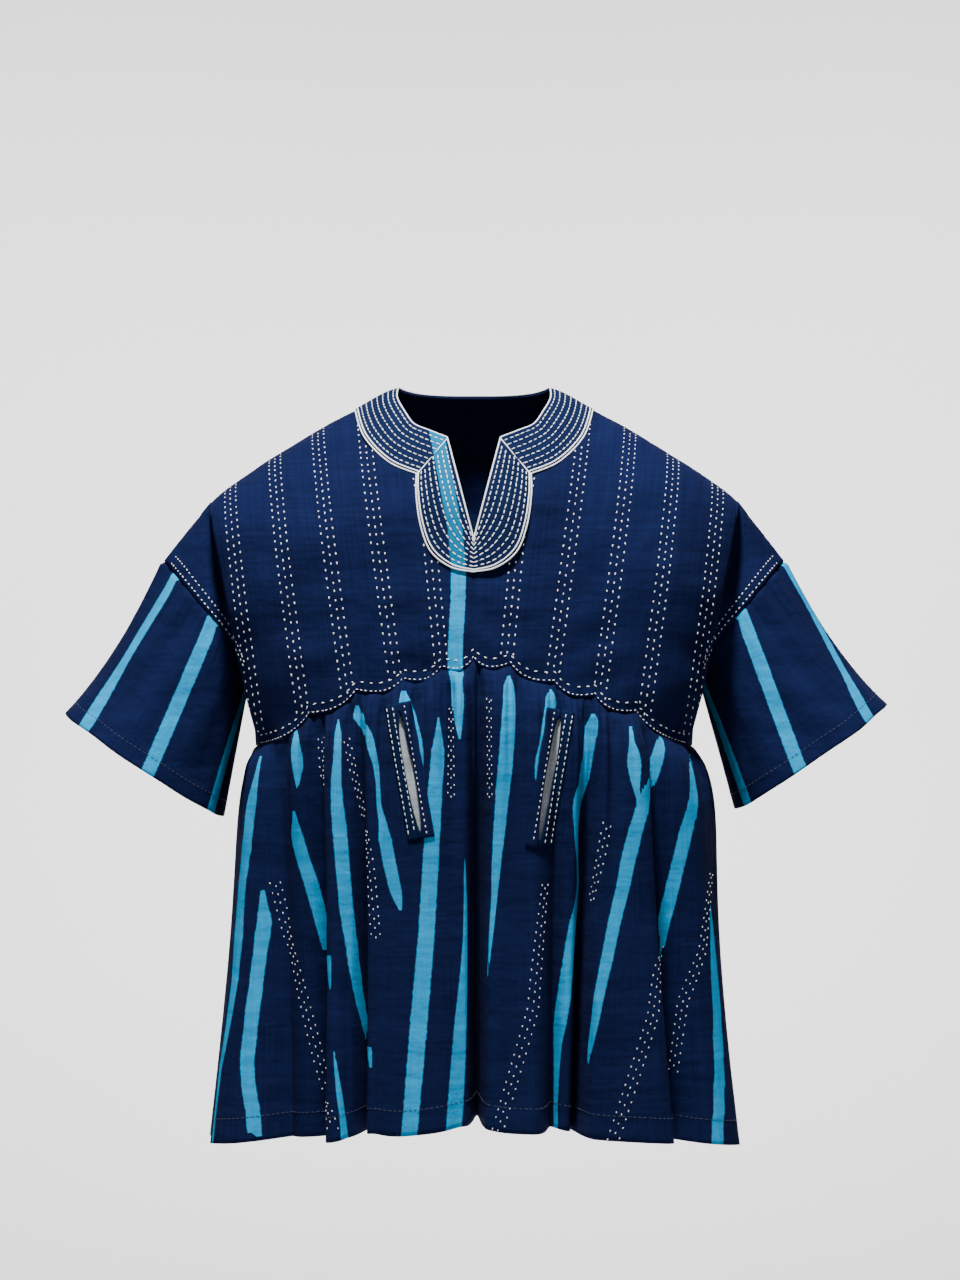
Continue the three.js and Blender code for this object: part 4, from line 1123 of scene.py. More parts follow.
def cloth_piece(name, patches, thickness, offset, finish):
    """A closed thin piece of cloth on its grids, from offset outwards down to its thickness."""
    points, weave, stripe, extra, faces = welded(patches)
    out = normals_of(points, faces)
    count = len(points)
    outer = points + out * offset
    inner = outer - out * (thickness + extra)[:, None]
    starts, ends = open_edges(faces, count)
    rim = np.stack([ends, starts, starts + count, ends + count], -1)
    every = np.vstack([faces, faces[:, ::-1] + count, rim])
    mesh = new_mesh(name, np.vstack([outer, inner]), every.tolist(), 2 * len(faces))
    field = mesh.attributes.new("stripe_mm", "FLOAT", "POINT")
    field.data.foreach_set("value", np.tile(stripe, 2).astype(np.float32))
    corners = np.zeros(len(mesh.loops), np.int32)
    mesh.loops.foreach_get("vertex_index", corners)
    layer = mesh.uv_layers.new(name="weave")
    layer.data.foreach_set("uv", (np.tile(weave, (2, 1))[corners] * MM).astype(np.float32).ravel())
    TREES[name] = BVHTree.FromPolygons(outer.tolist(), faces.tolist())
    return new_object(name, mesh, finish)


def landed(tree, outward, x, z):
    """Where the front or back view first meets a piece at x and z, and the way out of it."""
    start = Vector((float(x), outward * RAY_START, float(z)))
    hit, way, _, _ = tree.ray_cast(start, Vector((0, -outward, 0)))
    if hit is None:
        return None
    way = way if way.y * outward > 0 else -way
    return np.array(hit), np.array(way)


@dataclass
class Run:
    """A line on the cloth that stitches follow."""

    points: np.ndarray
    ways: np.ndarray
    pitch: float
    length: float
    width: float
    start: float = 0.0


def seen_run(tree, outward, places, *stitch):
    """Runs of stitches along places of the front or back view, broken where they miss the cloth."""
    parts = [[]]
    for x, z in places:
        found = landed(tree, outward, x, z)
        last = parts[-1]
        if found is None or (last and np.linalg.norm(found[0] - last[-1][0]) > STITCH_BREAK):
            parts.append([])
        if found is not None:
            parts[-1].append(found)
    return [Run(*(np.array(side) for side in zip(*part)), *stitch) for part in parts if len(part) > 2]


def stitch_form():
    """One stitch lying along +X: a rounded thread, half sunk, of unit half length and radius."""
    sides = 5
    rings = ((-0.78, 0.72), (0.0, 1.0), (0.78, 0.72))
    points = [(-1.0, 0.0, -0.1)]
    for along, radius in rings:
        for k in range(sides):
            turn = 2 * math.pi * (k + 0.25) / sides
            points.append((along, radius * math.cos(turn), radius * math.sin(turn)))
    points.append((1.0, 0.0, -0.1))
    last = len(points) - 1
    faces = []
    for k in range(sides):
        after = (k + 1) % sides
        faces.append((0, 1 + after, 1 + k))
        faces.append((last, last - sides + k, last - sides + after))
        for ring in range(len(rings) - 1):
            base = 1 + ring * sides
            faces.append((base + k, base + after, base + sides + after))
            faces.append((base + k, base + sides + after, base + sides + k))
    return np.array(points), np.array(faces)


def stitch_piece(name, runs, finish, seed, loose=0.12):
    """All stitches of one group in one mesh, each a little uneven."""
    form, form_faces = stitch_form()
    rng = np.random.default_rng(seed)
    blocks, count = [], 0
    for run in runs:
        length = run_of(run.points)
        at = np.arange(run.start + run.length / 2, length[-1] - run.length / 2, run.pitch)
        if not len(at):
            continue
        at = at + rng.normal(0, loose * run.pitch * 0.5, len(at))
        centre = read_line(run.points, length, at)
        way = unit(read_line(run.ways, length, at))
        ahead = read_line(run.points, length, at + STITCH["reach"])
        along = ahead - read_line(run.points, length, at - STITCH["reach"])
        along = unit(along - way * np.sum(along * way, axis=1, keepdims=True))
        side = np.cross(way, along)
        turn = rng.normal(0, loose, len(at))[:, None]
        along, side = along * np.cos(turn) + side * np.sin(turn), side * np.cos(turn) - along * np.sin(turn)
        half = run.length / 2 * rng.uniform(*STITCH["lengths"], len(at))[:, None, None]
        wide = run.width / 2 * rng.uniform(*STITCH["widths"], len(at))[:, None, None]
        block = (
            (centre + way * STITCH["stand"])[:, None, :]
            + along[:, None, :] * form[None, :, :1] * half
            + side[:, None, :] * form[None, :, 1:2] * wide
            + way[:, None, :] * form[None, :, 2:3] * wide * STITCH["flat"]
        )
        blocks.append(block.reshape(-1, 3))
        count += len(at)
    points = np.vstack(blocks)
    faces = (form_faces[None] + (np.arange(count) * len(form))[:, None, None]).reshape(-1, 3)
    return new_object(name, new_mesh(name, points, faces.tolist(), len(faces)), finish)


def cord_piece(name, lines, radius, finish):
    """Twisted edging cords laid along lines of points, in one mesh."""
    sides = CORD["sides"]
    all_points, all_faces, start = [], [], 0
    for points, ways, closed in lines:
        ahead = np.roll(points, -1, axis=0) if closed else np.vstack([points[1:], points[-1:]])
        behind = np.roll(points, 1, axis=0) if closed else np.vstack([points[:1], points[:-1]])
        along = unit(ahead - behind)
        side = unit(np.cross(ways, along))
        up = np.cross(along, side)
        run = run_of(points)
        turns = 2 * np.pi * np.arange(sides) / sides
        ply = 1 + CORD["ply"] * np.cos(2 * (turns[None, :] - run[:, None] * CORD["twist"]))
        ring = (
            points[:, None, :]
            + radius * ply[..., None] * np.cos(turns)[None, :, None] * side[:, None, :]
            + radius * ply[..., None] * np.sin(turns)[None, :, None] * up[:, None, :]
        )
        n = len(points)
        all_points.append(ring.reshape(-1, 3))
        last = n if closed else n - 1
        i = np.arange(last)[:, None] * sides
        j = (np.arange(1, last + 1) % n)[:, None] * sides
        k = np.arange(sides)[None, :]
        after = (k + 1) % sides
        quads = np.stack([i + k, j + k, j + after, i + after], -1).reshape(-1, 4)[:, ::-1] + start
        all_faces += quads.tolist()
        if not closed:
            all_faces.append(list(range(start, start + sides)))
            all_faces.append(list(range(start + n * sides - 1, start + (n - 1) * sides - 1, -1)))
        start += n * sides
    mesh = new_mesh(name, np.vstack(all_points), all_faces, len(all_faces))
    return new_object(name, mesh, finish)


# Materials


class Nodes:
    """Short way to add and join the nodes of one material."""

    def __init__(self, name):
        self.material = bpy.data.materials.new(name)
        self.material.use_nodes = True
        self.tree = self.material.node_tree
        self.shader = self.tree.nodes["Principled BSDF"]

    def add(self, kind, **settings):
        made = self.tree.nodes.new(kind)
        for key, value in settings.items():
            setattr(made, key, value)
        return made

    def join(self, source, target):
        self.tree.links.new(source, target)

    def sum(self, operation, a, b=0.0, c=0.0):
        made = self.add("ShaderNodeMath", operation=operation)
        for socket, value in zip(made.inputs, (a, b, c)):
            if isinstance(value, bpy.types.NodeSocket):
                self.join(value, socket)
            else:
                socket.default_value = value
        return made.outputs[0]

    def noise(self, vector, scale, detail=3.0, roughness=0.55):
        made = self.add("ShaderNodeTexNoise")
        self.join(vector, made.inputs["Vector"])
        made.inputs["Scale"].default_value = scale
        made.inputs["Detail"].default_value = detail
        made.inputs["Roughness"].default_value = roughness
        return made.outputs["Fac"]

    def ramp(self, value, low, high, to_low=0.0, to_high=1.0):
        made = self.add("ShaderNodeMapRange")
        self.join(value, made.inputs["Value"])
        for name, number in (("From Min", low), ("From Max", high), ("To Min", to_low), ("To Max", to_high)):
            made.inputs[name].default_value = number
        return made.outputs["Result"]

    def stretch(self, vector, scale, lean=0.0):
        """Coordinates leaned about Y and multiplied by a scale."""
        made = self.add("ShaderNodeMapping")
        made.inputs["Rotation"].default_value = (0.0, lean, 0.0)
        made.inputs["Scale"].default_value = scale
        self.join(vector, made.inputs["Vector"])
        return made.outputs["Vector"]

    def bump(self, height, strength, distance, under=None):
        """A bumped normal, on top of another if one is given."""
        made = self.add("ShaderNodeBump")
        made.inputs["Strength"].default_value = strength
        made.inputs["Distance"].default_value = distance
        self.join(height, made.inputs["Height"])
        if under is not None:
            self.join(under, made.inputs["Normal"])
        return made.outputs["Normal"]

    def surfaced(self, surface):
        """The finished material, with its plain surface values set."""
        for name, value in surface.items():
            self.shader.inputs[name].default_value = value
        return self.material

    def swing(self, noise, reach):
        """A noise spread evenly about nothing, as far as its reach."""
        return self.ramp(noise, 0.3, 0.7, -reach, reach)

    def blend(self, share, a, b):
        made = self.add("ShaderNodeMix", data_type="RGBA")
        sockets = [made.inputs[0], made.inputs[6], made.inputs[7]]
        for socket, value in zip(sockets, (share, a, b)):
            if isinstance(value, bpy.types.NodeSocket):
                self.join(value, socket)
            else:
                socket.default_value = value
        return made.outputs[2]


def linear(colour, factor=1.0):
    return (*[c * factor for c in colour[:3]], 1.0)


def cloth_tone(n, across, body, warp_tone, weft_tone):
    """How light the threads of a place are, from 0 to 1: uneven warp, weft and strips."""
    tone = n.sum("ADD", n.swing(warp_tone, TONES["warp"]), n.swing(weft_tone, TONES["weft"]))
    tone = n.sum("ADD", tone, n.swing(n.noise(body, 9.0, 4.0), TONES["cloud"]))
    strip = n.add("ShaderNodeTexWhiteNoise", noise_dimensions="1D")
    n.join(n.sum("FLOOR", n.sum("DIVIDE", across, STRIP_WIDTH)), strip.inputs["W"])
    strip_tone = n.ramp(strip.outputs["Value"], 0.0, 1.0, -TONES["strip"], TONES["strip"])
    return n.ramp(n.sum("ADD", tone, strip_tone), -0.4, 0.4)


def cloth_relief(n, across, along, body, uneven, wrinkle):
    """Bumps of the cloth: crossing threads, and over them fine creases."""
    warp = n.sum("SINE", n.sum("MULTIPLY", across, 2 * math.pi / WARP_PITCH))
    weft = n.sum("SINE", n.sum("MULTIPLY", along, 2 * math.pi / WEFT_PITCH))
    threads = n.sum("MULTIPLY", warp, weft)
    ribs = n.sum("ADD", threads, n.sum("MULTIPLY", n.sum("ABSOLUTE", warp), 0.5))
    weave = n.bump(n.sum("MULTIPLY_ADD", uneven, 1.6, ribs), *WEAVE_BUMP)
    fine = n.noise(body, 85.0, 3.0, 0.6)
    wide = n.noise(body, 24.0, 2.0, 0.5)
    creases = n.noise(n.stretch(body, CREASE_STRETCH, CREASE_LEAN), 1.0, 3.0, 0.55)
    crumple = n.sum("MULTIPLY_ADD", wide, 1.2, n.sum("MULTIPLY", fine, 0.5))
    crumple = n.sum("MULTIPLY_ADD", creases, 2.2, crumple)
    return n.bump(crumple, CREASE_BUMP[0] * wrinkle, CREASE_BUMP[1], weave)


def woven_cloth(name, ground, stripe=None, half_stripe=0.0, wrinkle=1.0):
    """Plain hand-woven cotton with uneven threads, faint strips and, if it has one, a woven stripe."""
    n = Nodes(name)
    place = n.add("ShaderNodeUVMap", uv_map="weave").outputs["UV"]
    split = n.add("ShaderNodeSeparateXYZ")
    n.join(place, split.inputs[0])
    across, along = split.outputs["X"], split.outputs["Y"]
    body = n.add("ShaderNodeTexCoord").outputs["Object"]
    picks = n.stretch(place, WEFT_STRETCH)
    warp_tone = n.noise(n.stretch(place, WARP_STRETCH), 1.0, 2.0)
    weft_tone = n.noise(picks, 1.0, 2.0)
    tone = cloth_tone(n, across, body, warp_tone, weft_tone)
    colour = n.blend(tone, *(linear(ground, factor) for factor in GROUND_TONES))
    if stripe is not None:
        distance = n.add("ShaderNodeAttribute", attribute_name="stripe_mm").outputs["Fac"]
        distance = n.sum("ADD", distance, n.swing(n.noise(picks, 0.6, 1.0), STRIPE_WOBBLE))
        mask = n.ramp(distance, half_stripe + STRIPE_EDGE, half_stripe - STRIPE_EDGE)
        bright = n.blend(tone, *(linear(stripe, factor) for factor in STRIPE_TONES))
        colour = n.blend(mask, colour, bright)
    n.join(colour, n.shader.inputs["Base Color"])
    uneven = n.sum("ADD", warp_tone, weft_tone)
    relief = cloth_relief(n, across, along, body, uneven, wrinkle)
    n.join(relief, n.shader.inputs["Normal"])
    return n.surfaced(CLOTH_SURFACE)


def spun_thread(name, colour):
    """Soft cotton thread: pale and a little fuzzy, with painted shade that darkens it between its plies."""
    n = Nodes(name)
    body = n.add("ShaderNodeTexCoord").outputs["Object"]
    ply_relief_and_shade = n.noise(body, 900.0, 2.0)
    # painted shade: the colour darkens where the ply bump sinks
    tone = n.blend(n.ramp(ply_relief_and_shade, 0.3, 0.7), linear(colour, 0.9), linear(colour, 1.02))
    n.join(tone, n.shader.inputs["Base Color"])
    n.join(n.bump(ply_relief_and_shade, *THREAD_BUMP), n.shader.inputs["Normal"])
    return n.surfaced(THREAD_SURFACE)


def studio_paper(name, colour):
    n = Nodes(name)
    body = n.add("ShaderNodeTexCoord").outputs["Object"]
    tone = n.blend(n.noise(body, 1.2, 2.0), linear(colour, 0.98), linear(colour, 1.0))
    n.join(tone, n.shader.inputs["Base Color"])
    return n.surfaced(PAPER_SURFACE)


def finish_named(name):
    """A finish that an earlier step has made, or else made now from the panel's colours."""
    found = bpy.data.materials.get(name)
    if found:
        return found
    looks = bpy.context.scene.smock_colours
    half = bpy.context.scene.smock_sizes.stripe_width / MM / 2
    # painted shade: the stripe is darkened on the bands to offset the stronger light that falls on them
    shaded_stripe = linear(looks.stripe, BAND_STRIPE_SHADE)
    finishes = {
        "striped_weave": (woven_cloth, {"ground": looks.ground, "stripe": looks.stripe, "half_stripe": half}),
        "band_weave": (
            woven_cloth,
            {"ground": looks.band, "stripe": shaded_stripe, "half_stripe": half, "wrinkle": 0.3},
        ),
        "welt_weave": (woven_cloth, {"ground": looks.welt, "wrinkle": 0.4}),
        "plain_weave": (woven_cloth, {"ground": looks.ground, "wrinkle": 0.6}),
        "lining_weave": (woven_cloth, {"ground": looks.lining, "wrinkle": 0.8}),
        "navy_thread": (spun_thread, {"colour": looks.dark_thread}),
        "white_thread": (spun_thread, {"colour": looks.thread}),
        "studio_paper": (studio_paper, {"colour": looks.paper}),
    }
    maker, settings = finishes[name]
    return maker(name, **settings)


# Panel settings


def colour_setting(name, description, default):
    return bpy.props.FloatVectorProperty(
        name=name, description=description, default=default, subtype="COLOR", size=3, min=0.0, max=1.0
    )


def length_setting(name, description, default):
    return bpy.props.FloatProperty(
        name=name, description=description, default=default, unit="LENGTH", min=0.0, precision=4
    )


class SmockSizes(bpy.types.PropertyGroup):
    """Sizes that a user may change"""

    cloth: length_setting("Cloth", "Thickness of the woven cloth", 0.0012)
    band: length_setting("Bands", "Thickness of the neck and slit bands", 0.0013)
    stripe_width: length_setting("Stripe", "Width of a woven stripe", 0.0132)
    hem_depth: length_setting("Hem", "Depth of the turned-up hem", 0.024)
    cuff_depth: length_setting("Sleeve hem", "Depth of the turned-up sleeve ends", 0.018)
    dot_pitch: length_setting("Dot pitch", "Distance between the stitches of a dotted line", 0.0083)
    dot_length: length_setting("Dot length", "Length of a stitch of a dotted line", 0.0023)
    dot_width: length_setting("Dot width", "Width of a stitch of a dotted line", 0.0013)
    dash_pitch: length_setting("Dash pitch", "Distance between the stitches of the bands", 0.0058)
    dash_length: length_setting("Dash length", "Length of a stitch of the bands", 0.0042)
    dash_width: length_setting("Dash width", "Width of a stitch of the bands", 0.0011)
    cord_radius: length_setting("Edging", "Radius of the white edging cords", 0.00072)


class SmockColours(bpy.types.PropertyGroup):
    """Colours that a user may change"""

    ground: colour_setting("Ground", "Ground of the smock's cloth", (0.0052, 0.0088, 0.043))
    stripe: colour_setting("Stripe", "Woven stripes", (0.0, 0.3, 0.6))
    band: colour_setting("Bands", "Cloth of the bands", (0.0045, 0.0105, 0.042))
    welt: colour_setting("Welts", "Cloth of the pocket welts", (0.003, 0.009, 0.036))
    lining: colour_setting("Pocket lining", "Lining inside the pockets", (0.33, 0.37, 0.4))
    thread: colour_setting("Thread", "White stitching and edging", (0.93, 0.95, 0.98))
    dark_thread: colour_setting("Hem thread", "Thread of the hems", (0.01, 0.024, 0.07))
    paper: colour_setting("Paper", "Floor and backdrop of the studio", (0.9, 0.865, 0.89))


# Steps that build the smock


def placed(name, data, place=(0.0, 0.0, 0.0)):
    """A new object of the studio at its place."""
    holder = bpy.data.objects.new(name, data)
    holder.location = place
    bpy.context.scene.collection.objects.link(holder)
    return holder


def lay_sweep():
    """The floor, which bends up into the backdrop."""
    floor, back, bend, half = (SWEEP[size] for size in ("floor", "back", "bend", "half"))
    profile = [(SWEEP["front"], floor)]
    for k in range(SWEEP["steps"] + 1):
        turn = math.pi / 2 * k / SWEEP["steps"]
        profile.append((back - bend + bend * math.sin(turn), floor + bend - bend * math.cos(turn)))
    profile.append((back, SWEEP["top"]))
    points = [(x, y, z) for y, z in profile for x in (-half, half)]
    faces = [(2 * k, 2 * k + 1, 2 * k + 3, 2 * k + 2) for k in range(len(profile) - 1)]
    mesh = bpy.data.meshes.new("studio_sweep")
    mesh.from_pydata(points, [], faces)
    mesh.polygons.foreach_set("use_smooth", np.ones(len(faces), bool))
    mesh.materials.append(finish_named("studio_paper"))
    sweep = placed("studio_sweep", mesh)


def hang_light(name, place, aim, size, power, spread):
    lamp = bpy.data.lights.new(name, "AREA")
    lamp.shape = "DISK"
    lamp.size = size
    lamp.energy = power
    lamp.spread = math.radians(spread)
    way = Vector(aim) - Vector(place)
    placed(name, lamp, place).rotation_euler = way.to_track_quat("-Z", "Y").to_euler()


def fill_air():
    """Air that looks pale to the camera and lights the smock only faintly."""
    world = bpy.data.worlds.new("studio_air")
    world.use_nodes = True
    nodes, links = world.node_tree.nodes, world.node_tree.links
    airs = {"fill": nodes["Background"], "seen": nodes.new("ShaderNodeBackground")}
    either = nodes.new("ShaderNodeMixShader")
    links.new(nodes.new("ShaderNodeLightPath").outputs["Is Camera Ray"], either.inputs[0])
    for k, (part, air) in enumerate(airs.items()):
        colour, strength = AIR[part]
        air.inputs["Color"].default_value = colour
        air.inputs["Strength"].default_value = strength
        links.new(air.outputs[0], either.inputs[1 + k])
    links.new(either.outputs[0], nodes["World Output"].inputs["Surface"])
    bpy.context.scene.world = world


def set_camera():
    view = bpy.data.cameras.new("front_camera")
    view.sensor_width = CAMERA["sensor"]
    view.lens = view.sensor_width / 2 / CAMERA["half_view"]
    view.dof.use_dof = False
    camera = placed("front_camera", view, CAMERA["place"])
    camera.rotation_euler = (math.pi / 2, 0.0, 0.0)
    bpy.context.scene.camera = camera


class SMOCK_OT_stage(bpy.types.Operator):
    """Sets the pale studio sweep, the soft lights and the camera"""

    bl_idname = "smock.stage"
    bl_label = "Set the studio"

    def execute(self, context):
        lay_sweep()
        for light in LIGHTS:
            hang_light(**light)
        fill_air()
        set_camera()
        return {"FINISHED"}


class SMOCK_OT_bodice(bpy.types.Operator):
    """Makes the chest and the back"""

    bl_idname = "smock.bodice"
    bl_label = "Make the chest and back"

    def execute(self, context):
        thick = context.scene.smock_sizes.cloth / MM
        for outward, face in FACE_NAMES.items():
            name = PANEL_NAMES[outward]
            piece = cloth_piece(name, bodice_patches(outward), thick, 0.0, "striped_weave")
            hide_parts(f"bodice_{face}")
        return {"FINISHED"}


def flat_of(patches):
    """Area of the outer side of a piece, in square metres."""
    points, _, _, _, faces = welded(patches)
    a, b, c, d = (points[faces[:, k]] * MM for k in range(4))
    return float(np.linalg.norm(np.cross(c - a, d - b), axis=1).sum() / 2)


class SMOCK_OT_skirt(bpy.types.Operator):
    """Makes the gathered skirt, front and back"""

    bl_idname = "smock.skirt"
    bl_label = "Make the skirt"

    def execute(self, context):
        sizes = context.scene.smock_sizes
        for outward, face in FACE_NAMES.items():
            patch = skirt_patch(outward, sizes)
            name = f"smock_skirt_{face}"
            piece = cloth_piece(name, [patch], sizes.cloth / MM, 0.0, "striped_weave")
            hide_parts(f"skirt_{face}")
            width = float(arc_along(patch.points[-1:])[0, -1] * MM) * SKIRT_EASE["width"]
            area = min(flat_of([patch]) * SKIRT_EASE["area"], width * SKIRT_LENGTH)
        return {"FINISHED"}


class SMOCK_OT_sleeves(bpy.types.Operator):
    """Makes both sleeves"""

    bl_idname = "smock.sleeves"
    bl_label = "Make the sleeves"

    def execute(self, context):
        sizes = context.scene.smock_sizes
        for sign, side in SIDE_NAMES.items():
            patch = sleeve_patch(sign, sizes)
            name = f"smock_sleeve_{side}"
            piece = cloth_piece(name, [patch], sizes.cloth / MM, 0.0, "striped_weave")
            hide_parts(f"sleeve_{side}")
        return {"FINISHED"}


class SMOCK_OT_bands(bpy.types.Operator):
    """Makes the neck band and the slit band"""

    bl_idname = "smock.bands"
    bl_label = "Make the bands"

    def execute(self, context):
        thick = context.scene.smock_sizes.band / MM
        neck = []
        for outward in (FRONT, BACK):
            first = MITRE_COLUMN if outward == FRONT else 0
            for sign in (LEFT, RIGHT):
                striped = outward == FRONT and sign == LEFT
                neck.append(band_patch(outward, sign, first, SHOULDER_COLUMN, striped))
        slit = [band_patch(FRONT, sign, 0, MITRE_COLUMN, True) for sign in (LEFT, RIGHT)]
        for name, patches, node, cut, under in (
            ("smock_neck_band", neck, "neck_band", (0.42, 0.07), ["smock_chest", "smock_back"]),
            ("smock_slit_band", slit, "slit_band", (0.15, 0.1), ["smock_chest"]),
        ):
            piece = cloth_piece(name, patches, thick, BAND_GAP + thick, "band_weave")
            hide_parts(node)
            area = round(flat_of(patches) * BAND_EASE, 4)
        return {"FINISHED"}


def looks_back(points):
    """Whether the grid's faces would look away from the front."""
    a = points[0, 0]
    way = np.cross(points[-1, 0] - a, points[0, -1] - a)
    return bool(way[1] > 0)


def draped_patch(sign, shares, offs, lift):
    """A patch on the front of the skirt, by share down a pocket's mouth and distance off it."""
    start, down, out, length = pocket_frame(sign)
    points = np.zeros((*offs.shape, 3))
    for r, c in np.ndindex(offs.shape):
        x, z = start + down * shares[r] + out * offs[r, c]
        found = landed(TREES["skirt_whole"], FRONT, x, z)
        if found is None:
            raise RuntimeError(f"no skirt in front of {x:.0f}, {z:.0f}")
        points[r, c] = found[0] + np.array([0, -1, 0]) * lift[r, c]
    weave = np.stack([offs, np.broadcast_to(shares[:, None] * length, offs.shape)], -1)
    return Patch(points, weave, np.full(offs.shape, NO_STRIPE), looks_back(points))


def welt_patch(sign, part):
    """The strip along one side of a pocket's mouth, rolled at the mouth."""
    shares = np.linspace(-WELT_OVERRUN, 1 + WELT_OVERRUN, WELT_MESH["rows"])
    across = np.linspace(0, 1, WELT_MESH["columns"])
    near = (mouth_half(shares) + WELT_CLEAR)[:, None]
    offs = WELT_WAYS[part] * lerp(near, WELT_WIDTH, across[None, :])
    edge = WELT_ROLL["edge"] * np.exp(-((across / WELT_ROLL["edge_breadth"]) ** 2))
    roll = edge + WELT_ROLL["middle"] * np.sin(np.pi * across)
    from_end = np.minimum(shares + WELT_OVERRUN, 1 + WELT_OVERRUN - shares)
    whole = np.clip(from_end * WELT_ROLL["rise"], WELT_FLAT_END, 1)
    return draped_patch(sign, shares, offs, WELT_LIFT + roll[None, :] * whole[:, None])


def lining_patch(sign):
    """The layer of lining that shows behind a pocket's mouth, swelled and pleated there."""
    length = pocket_frame(sign)[3]
    reach, swell = LINING_REACH, LINING_SWELL
    shares = np.linspace(-reach["over"] / length, 1 + reach["under"] / length, LINING_MESH["rows"])
    across = np.linspace(-reach["inward"], reach["outward"], LINING_MESH["columns"])
    offs = np.broadcast_to(across, (len(shares), len(across)))
    in_mouth = np.exp(-((offs / swell["breadth"]) ** 2)) * np.sin(np.pi * np.clip(shares, 0, 1))[:, None]
    pleats = swell["pleat"] * np.sin(offs * swell["pleat_turn"])
    return draped_patch(sign, shares, offs, LINING_LIFT + in_mouth * (swell["depth"] + pleats))


class SMOCK_OT_pockets(bpy.types.Operator):
    """Makes the welts and the lining of both slanted pockets"""

    bl_idname = "smock.pockets"
    bl_label = "Make the pockets"

    def execute(self, context):
        whole = skirt_grid(FRONT)
        faces = grid_faces(*whole.shape[:2])
        TREES["skirt_whole"] = BVHTree.FromPolygons(whole.reshape(-1, 3).tolist(), faces.tolist())
        for sign, side in SIDE_NAMES.items():
            for part in WELT_WAYS:
                patch = welt_patch(sign, part)
                name = f"smock_pocket_{side}_{part}_welt"
                finish = "welt_weave" if part == "outer" else "plain_weave"
                piece = cloth_piece(name, [patch], WELT_THICKNESS, 0.0, finish)
                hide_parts(f"pocket_{side}_{part}_welt")
                flat = (round(flat_of([patch]) / WELT_LENGTH, 4), WELT_LENGTH)
            patch = lining_patch(sign)
            name = f"smock_pocket_{side}_lining"
            piece = cloth_piece(name, [patch], LINING_THICKNESS, 0.0, "lining_weave")
            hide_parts(f"pocket_{side}_lining")
            flat = (round(flat_of([patch]) / LINING_LENGTH, 4), LINING_LENGTH)
        return {"FINISHED"}


def clear_of_bands(outward, x, z):
    """Which places of the chest or back lie outside the bands, for places right of the middle."""

    def below(edge):
        rows = np.array(edge)
        return z < np.interp(x, rows[:, 0], rows[:, 1]) - LINE_CLEAR["band"]

    if outward == BACK:
        return np.where(x < NAPE_BAND_EDGE[-1][0], below(NAPE_BAND_EDGE), True)
    over_slit = x < NECK_BAND_EDGE[0][0]
    clear = np.where(over_slit, below(SLIT_BAND_EDGE), below((*NECK_BAND_EDGE, BAND_RUN_ON)))
    return clear | ((x > LINE_UNDER_MITRE[0]) & (z < LINE_UNDER_MITRE[1]))


def chest_line_places(outward, sign, line, off):
    """Places of one row of a dotted line of the chest or back, in the front view."""
    z = np.arange(*LINE_SPAN)
    opening = np.maximum(0, SLIT_OPEN * (z - SLIT_FOOT)) if outward == FRONT else 0 * z
    lean = GRAIN_LEAN * (z - GRAIN_FOOT)
    share = np.clip(line / GRAIN_SETTLE, 0, 1)
    x = line + opening + (lean - opening) * share + off
    seam = seam_step(outward, sign, seam_step_at(sign, x))[1]
    low = z > seam + LINE_CLEAR["seam"]
    high = z < shoulder_height(x) - LINE_CLEAR["shoulder"]
    inside = x < np.interp(z, FOLD["height"], FOLD["across"]) + LINE_CLEAR["fold"]
    keep = low & high & inside & clear_of_bands(outward, x, z)
    return [(sign * a, b) for a, b in zip(x[keep], z[keep])]


def seam_places(outward, lift):
    """Places along the whole gather seam, a little above it."""
    halves = []
    for sign in (LEFT, RIGHT):
        across, height = seam_step(outward, sign, np.arange(0, SEAM_STEPS, SEAM_STEP_GAP))
        halves.append([(sign * a, h + lift) for a, h in zip(across, height)])
    return halves[0][::-1] + halves[1]


def sew_chest(dot):
    for outward, name in PANEL_NAMES.items():
        runs = []
        for sign in (LEFT, RIGHT):
            for line in CHEST_LINES:
                for off, start in LINE_ROWS:
                    places = chest_line_places(outward, sign, line, off)
                    runs += seen_run(TREES[name], outward, places, *dot, start)
        for lift, stitch in SEAM_ROWS:
            runs += seen_run(TREES[name], outward, seam_places(outward, lift), *stitch)
        stitch_piece(f"{name}_stitches", runs, "white_thread", SEEDS["chest"] + outward)


def between(values, at):
    """A value between two neighbours, at a broken index."""
    i = min(int(at), len(values) - 2)
    return lerp(values[i], values[i + 1], at - i)


def skirt_lines(outward, points):
    """Dotted lines of the skirt: the length along each row at which each lies, and its rows."""
    arc = arc_along(points)
    if outward == BACK:
        share = np.arange(points.shape[1]) / (points.shape[1] - 1)
        rows = np.arange(SKIRT_LINE_FREE["back"], points.shape[0] - SKIRT_LINE_FREE["hem"])
        return [(np.array([np.interp(at, share, run) for run in arc]), rows) for at in BACK_LINES]
    lines = []
    for path in SKIRT_LINES:
        found = follow(points, arc, path)
        rows = np.flatnonzero(~np.isnan(found))[SKIRT_LINE_FREE["front"] :]
        breaks = np.flatnonzero(np.abs(np.diff(found[rows])) > LINE_JUMP) + 1
        lines += [(found, part) for part in np.split(rows, breaks) if len(part) > 2]
    return lines


def grid_run(points, centre, rows, off, stitch, start):
    """A run of stitches down some rows of a grid, beside a length along each row."""
    arc, ways = arc_along(points), grid_ways(points)
    line, out = [], []
    for r in rows:
        column = np.interp(centre[r] + off, arc[r], np.arange(points.shape[1]))
        line.append(between(points[r], column))
        out.append(between(ways[r], column))
    return Run(np.array(line), np.array(out), *stitch, start)


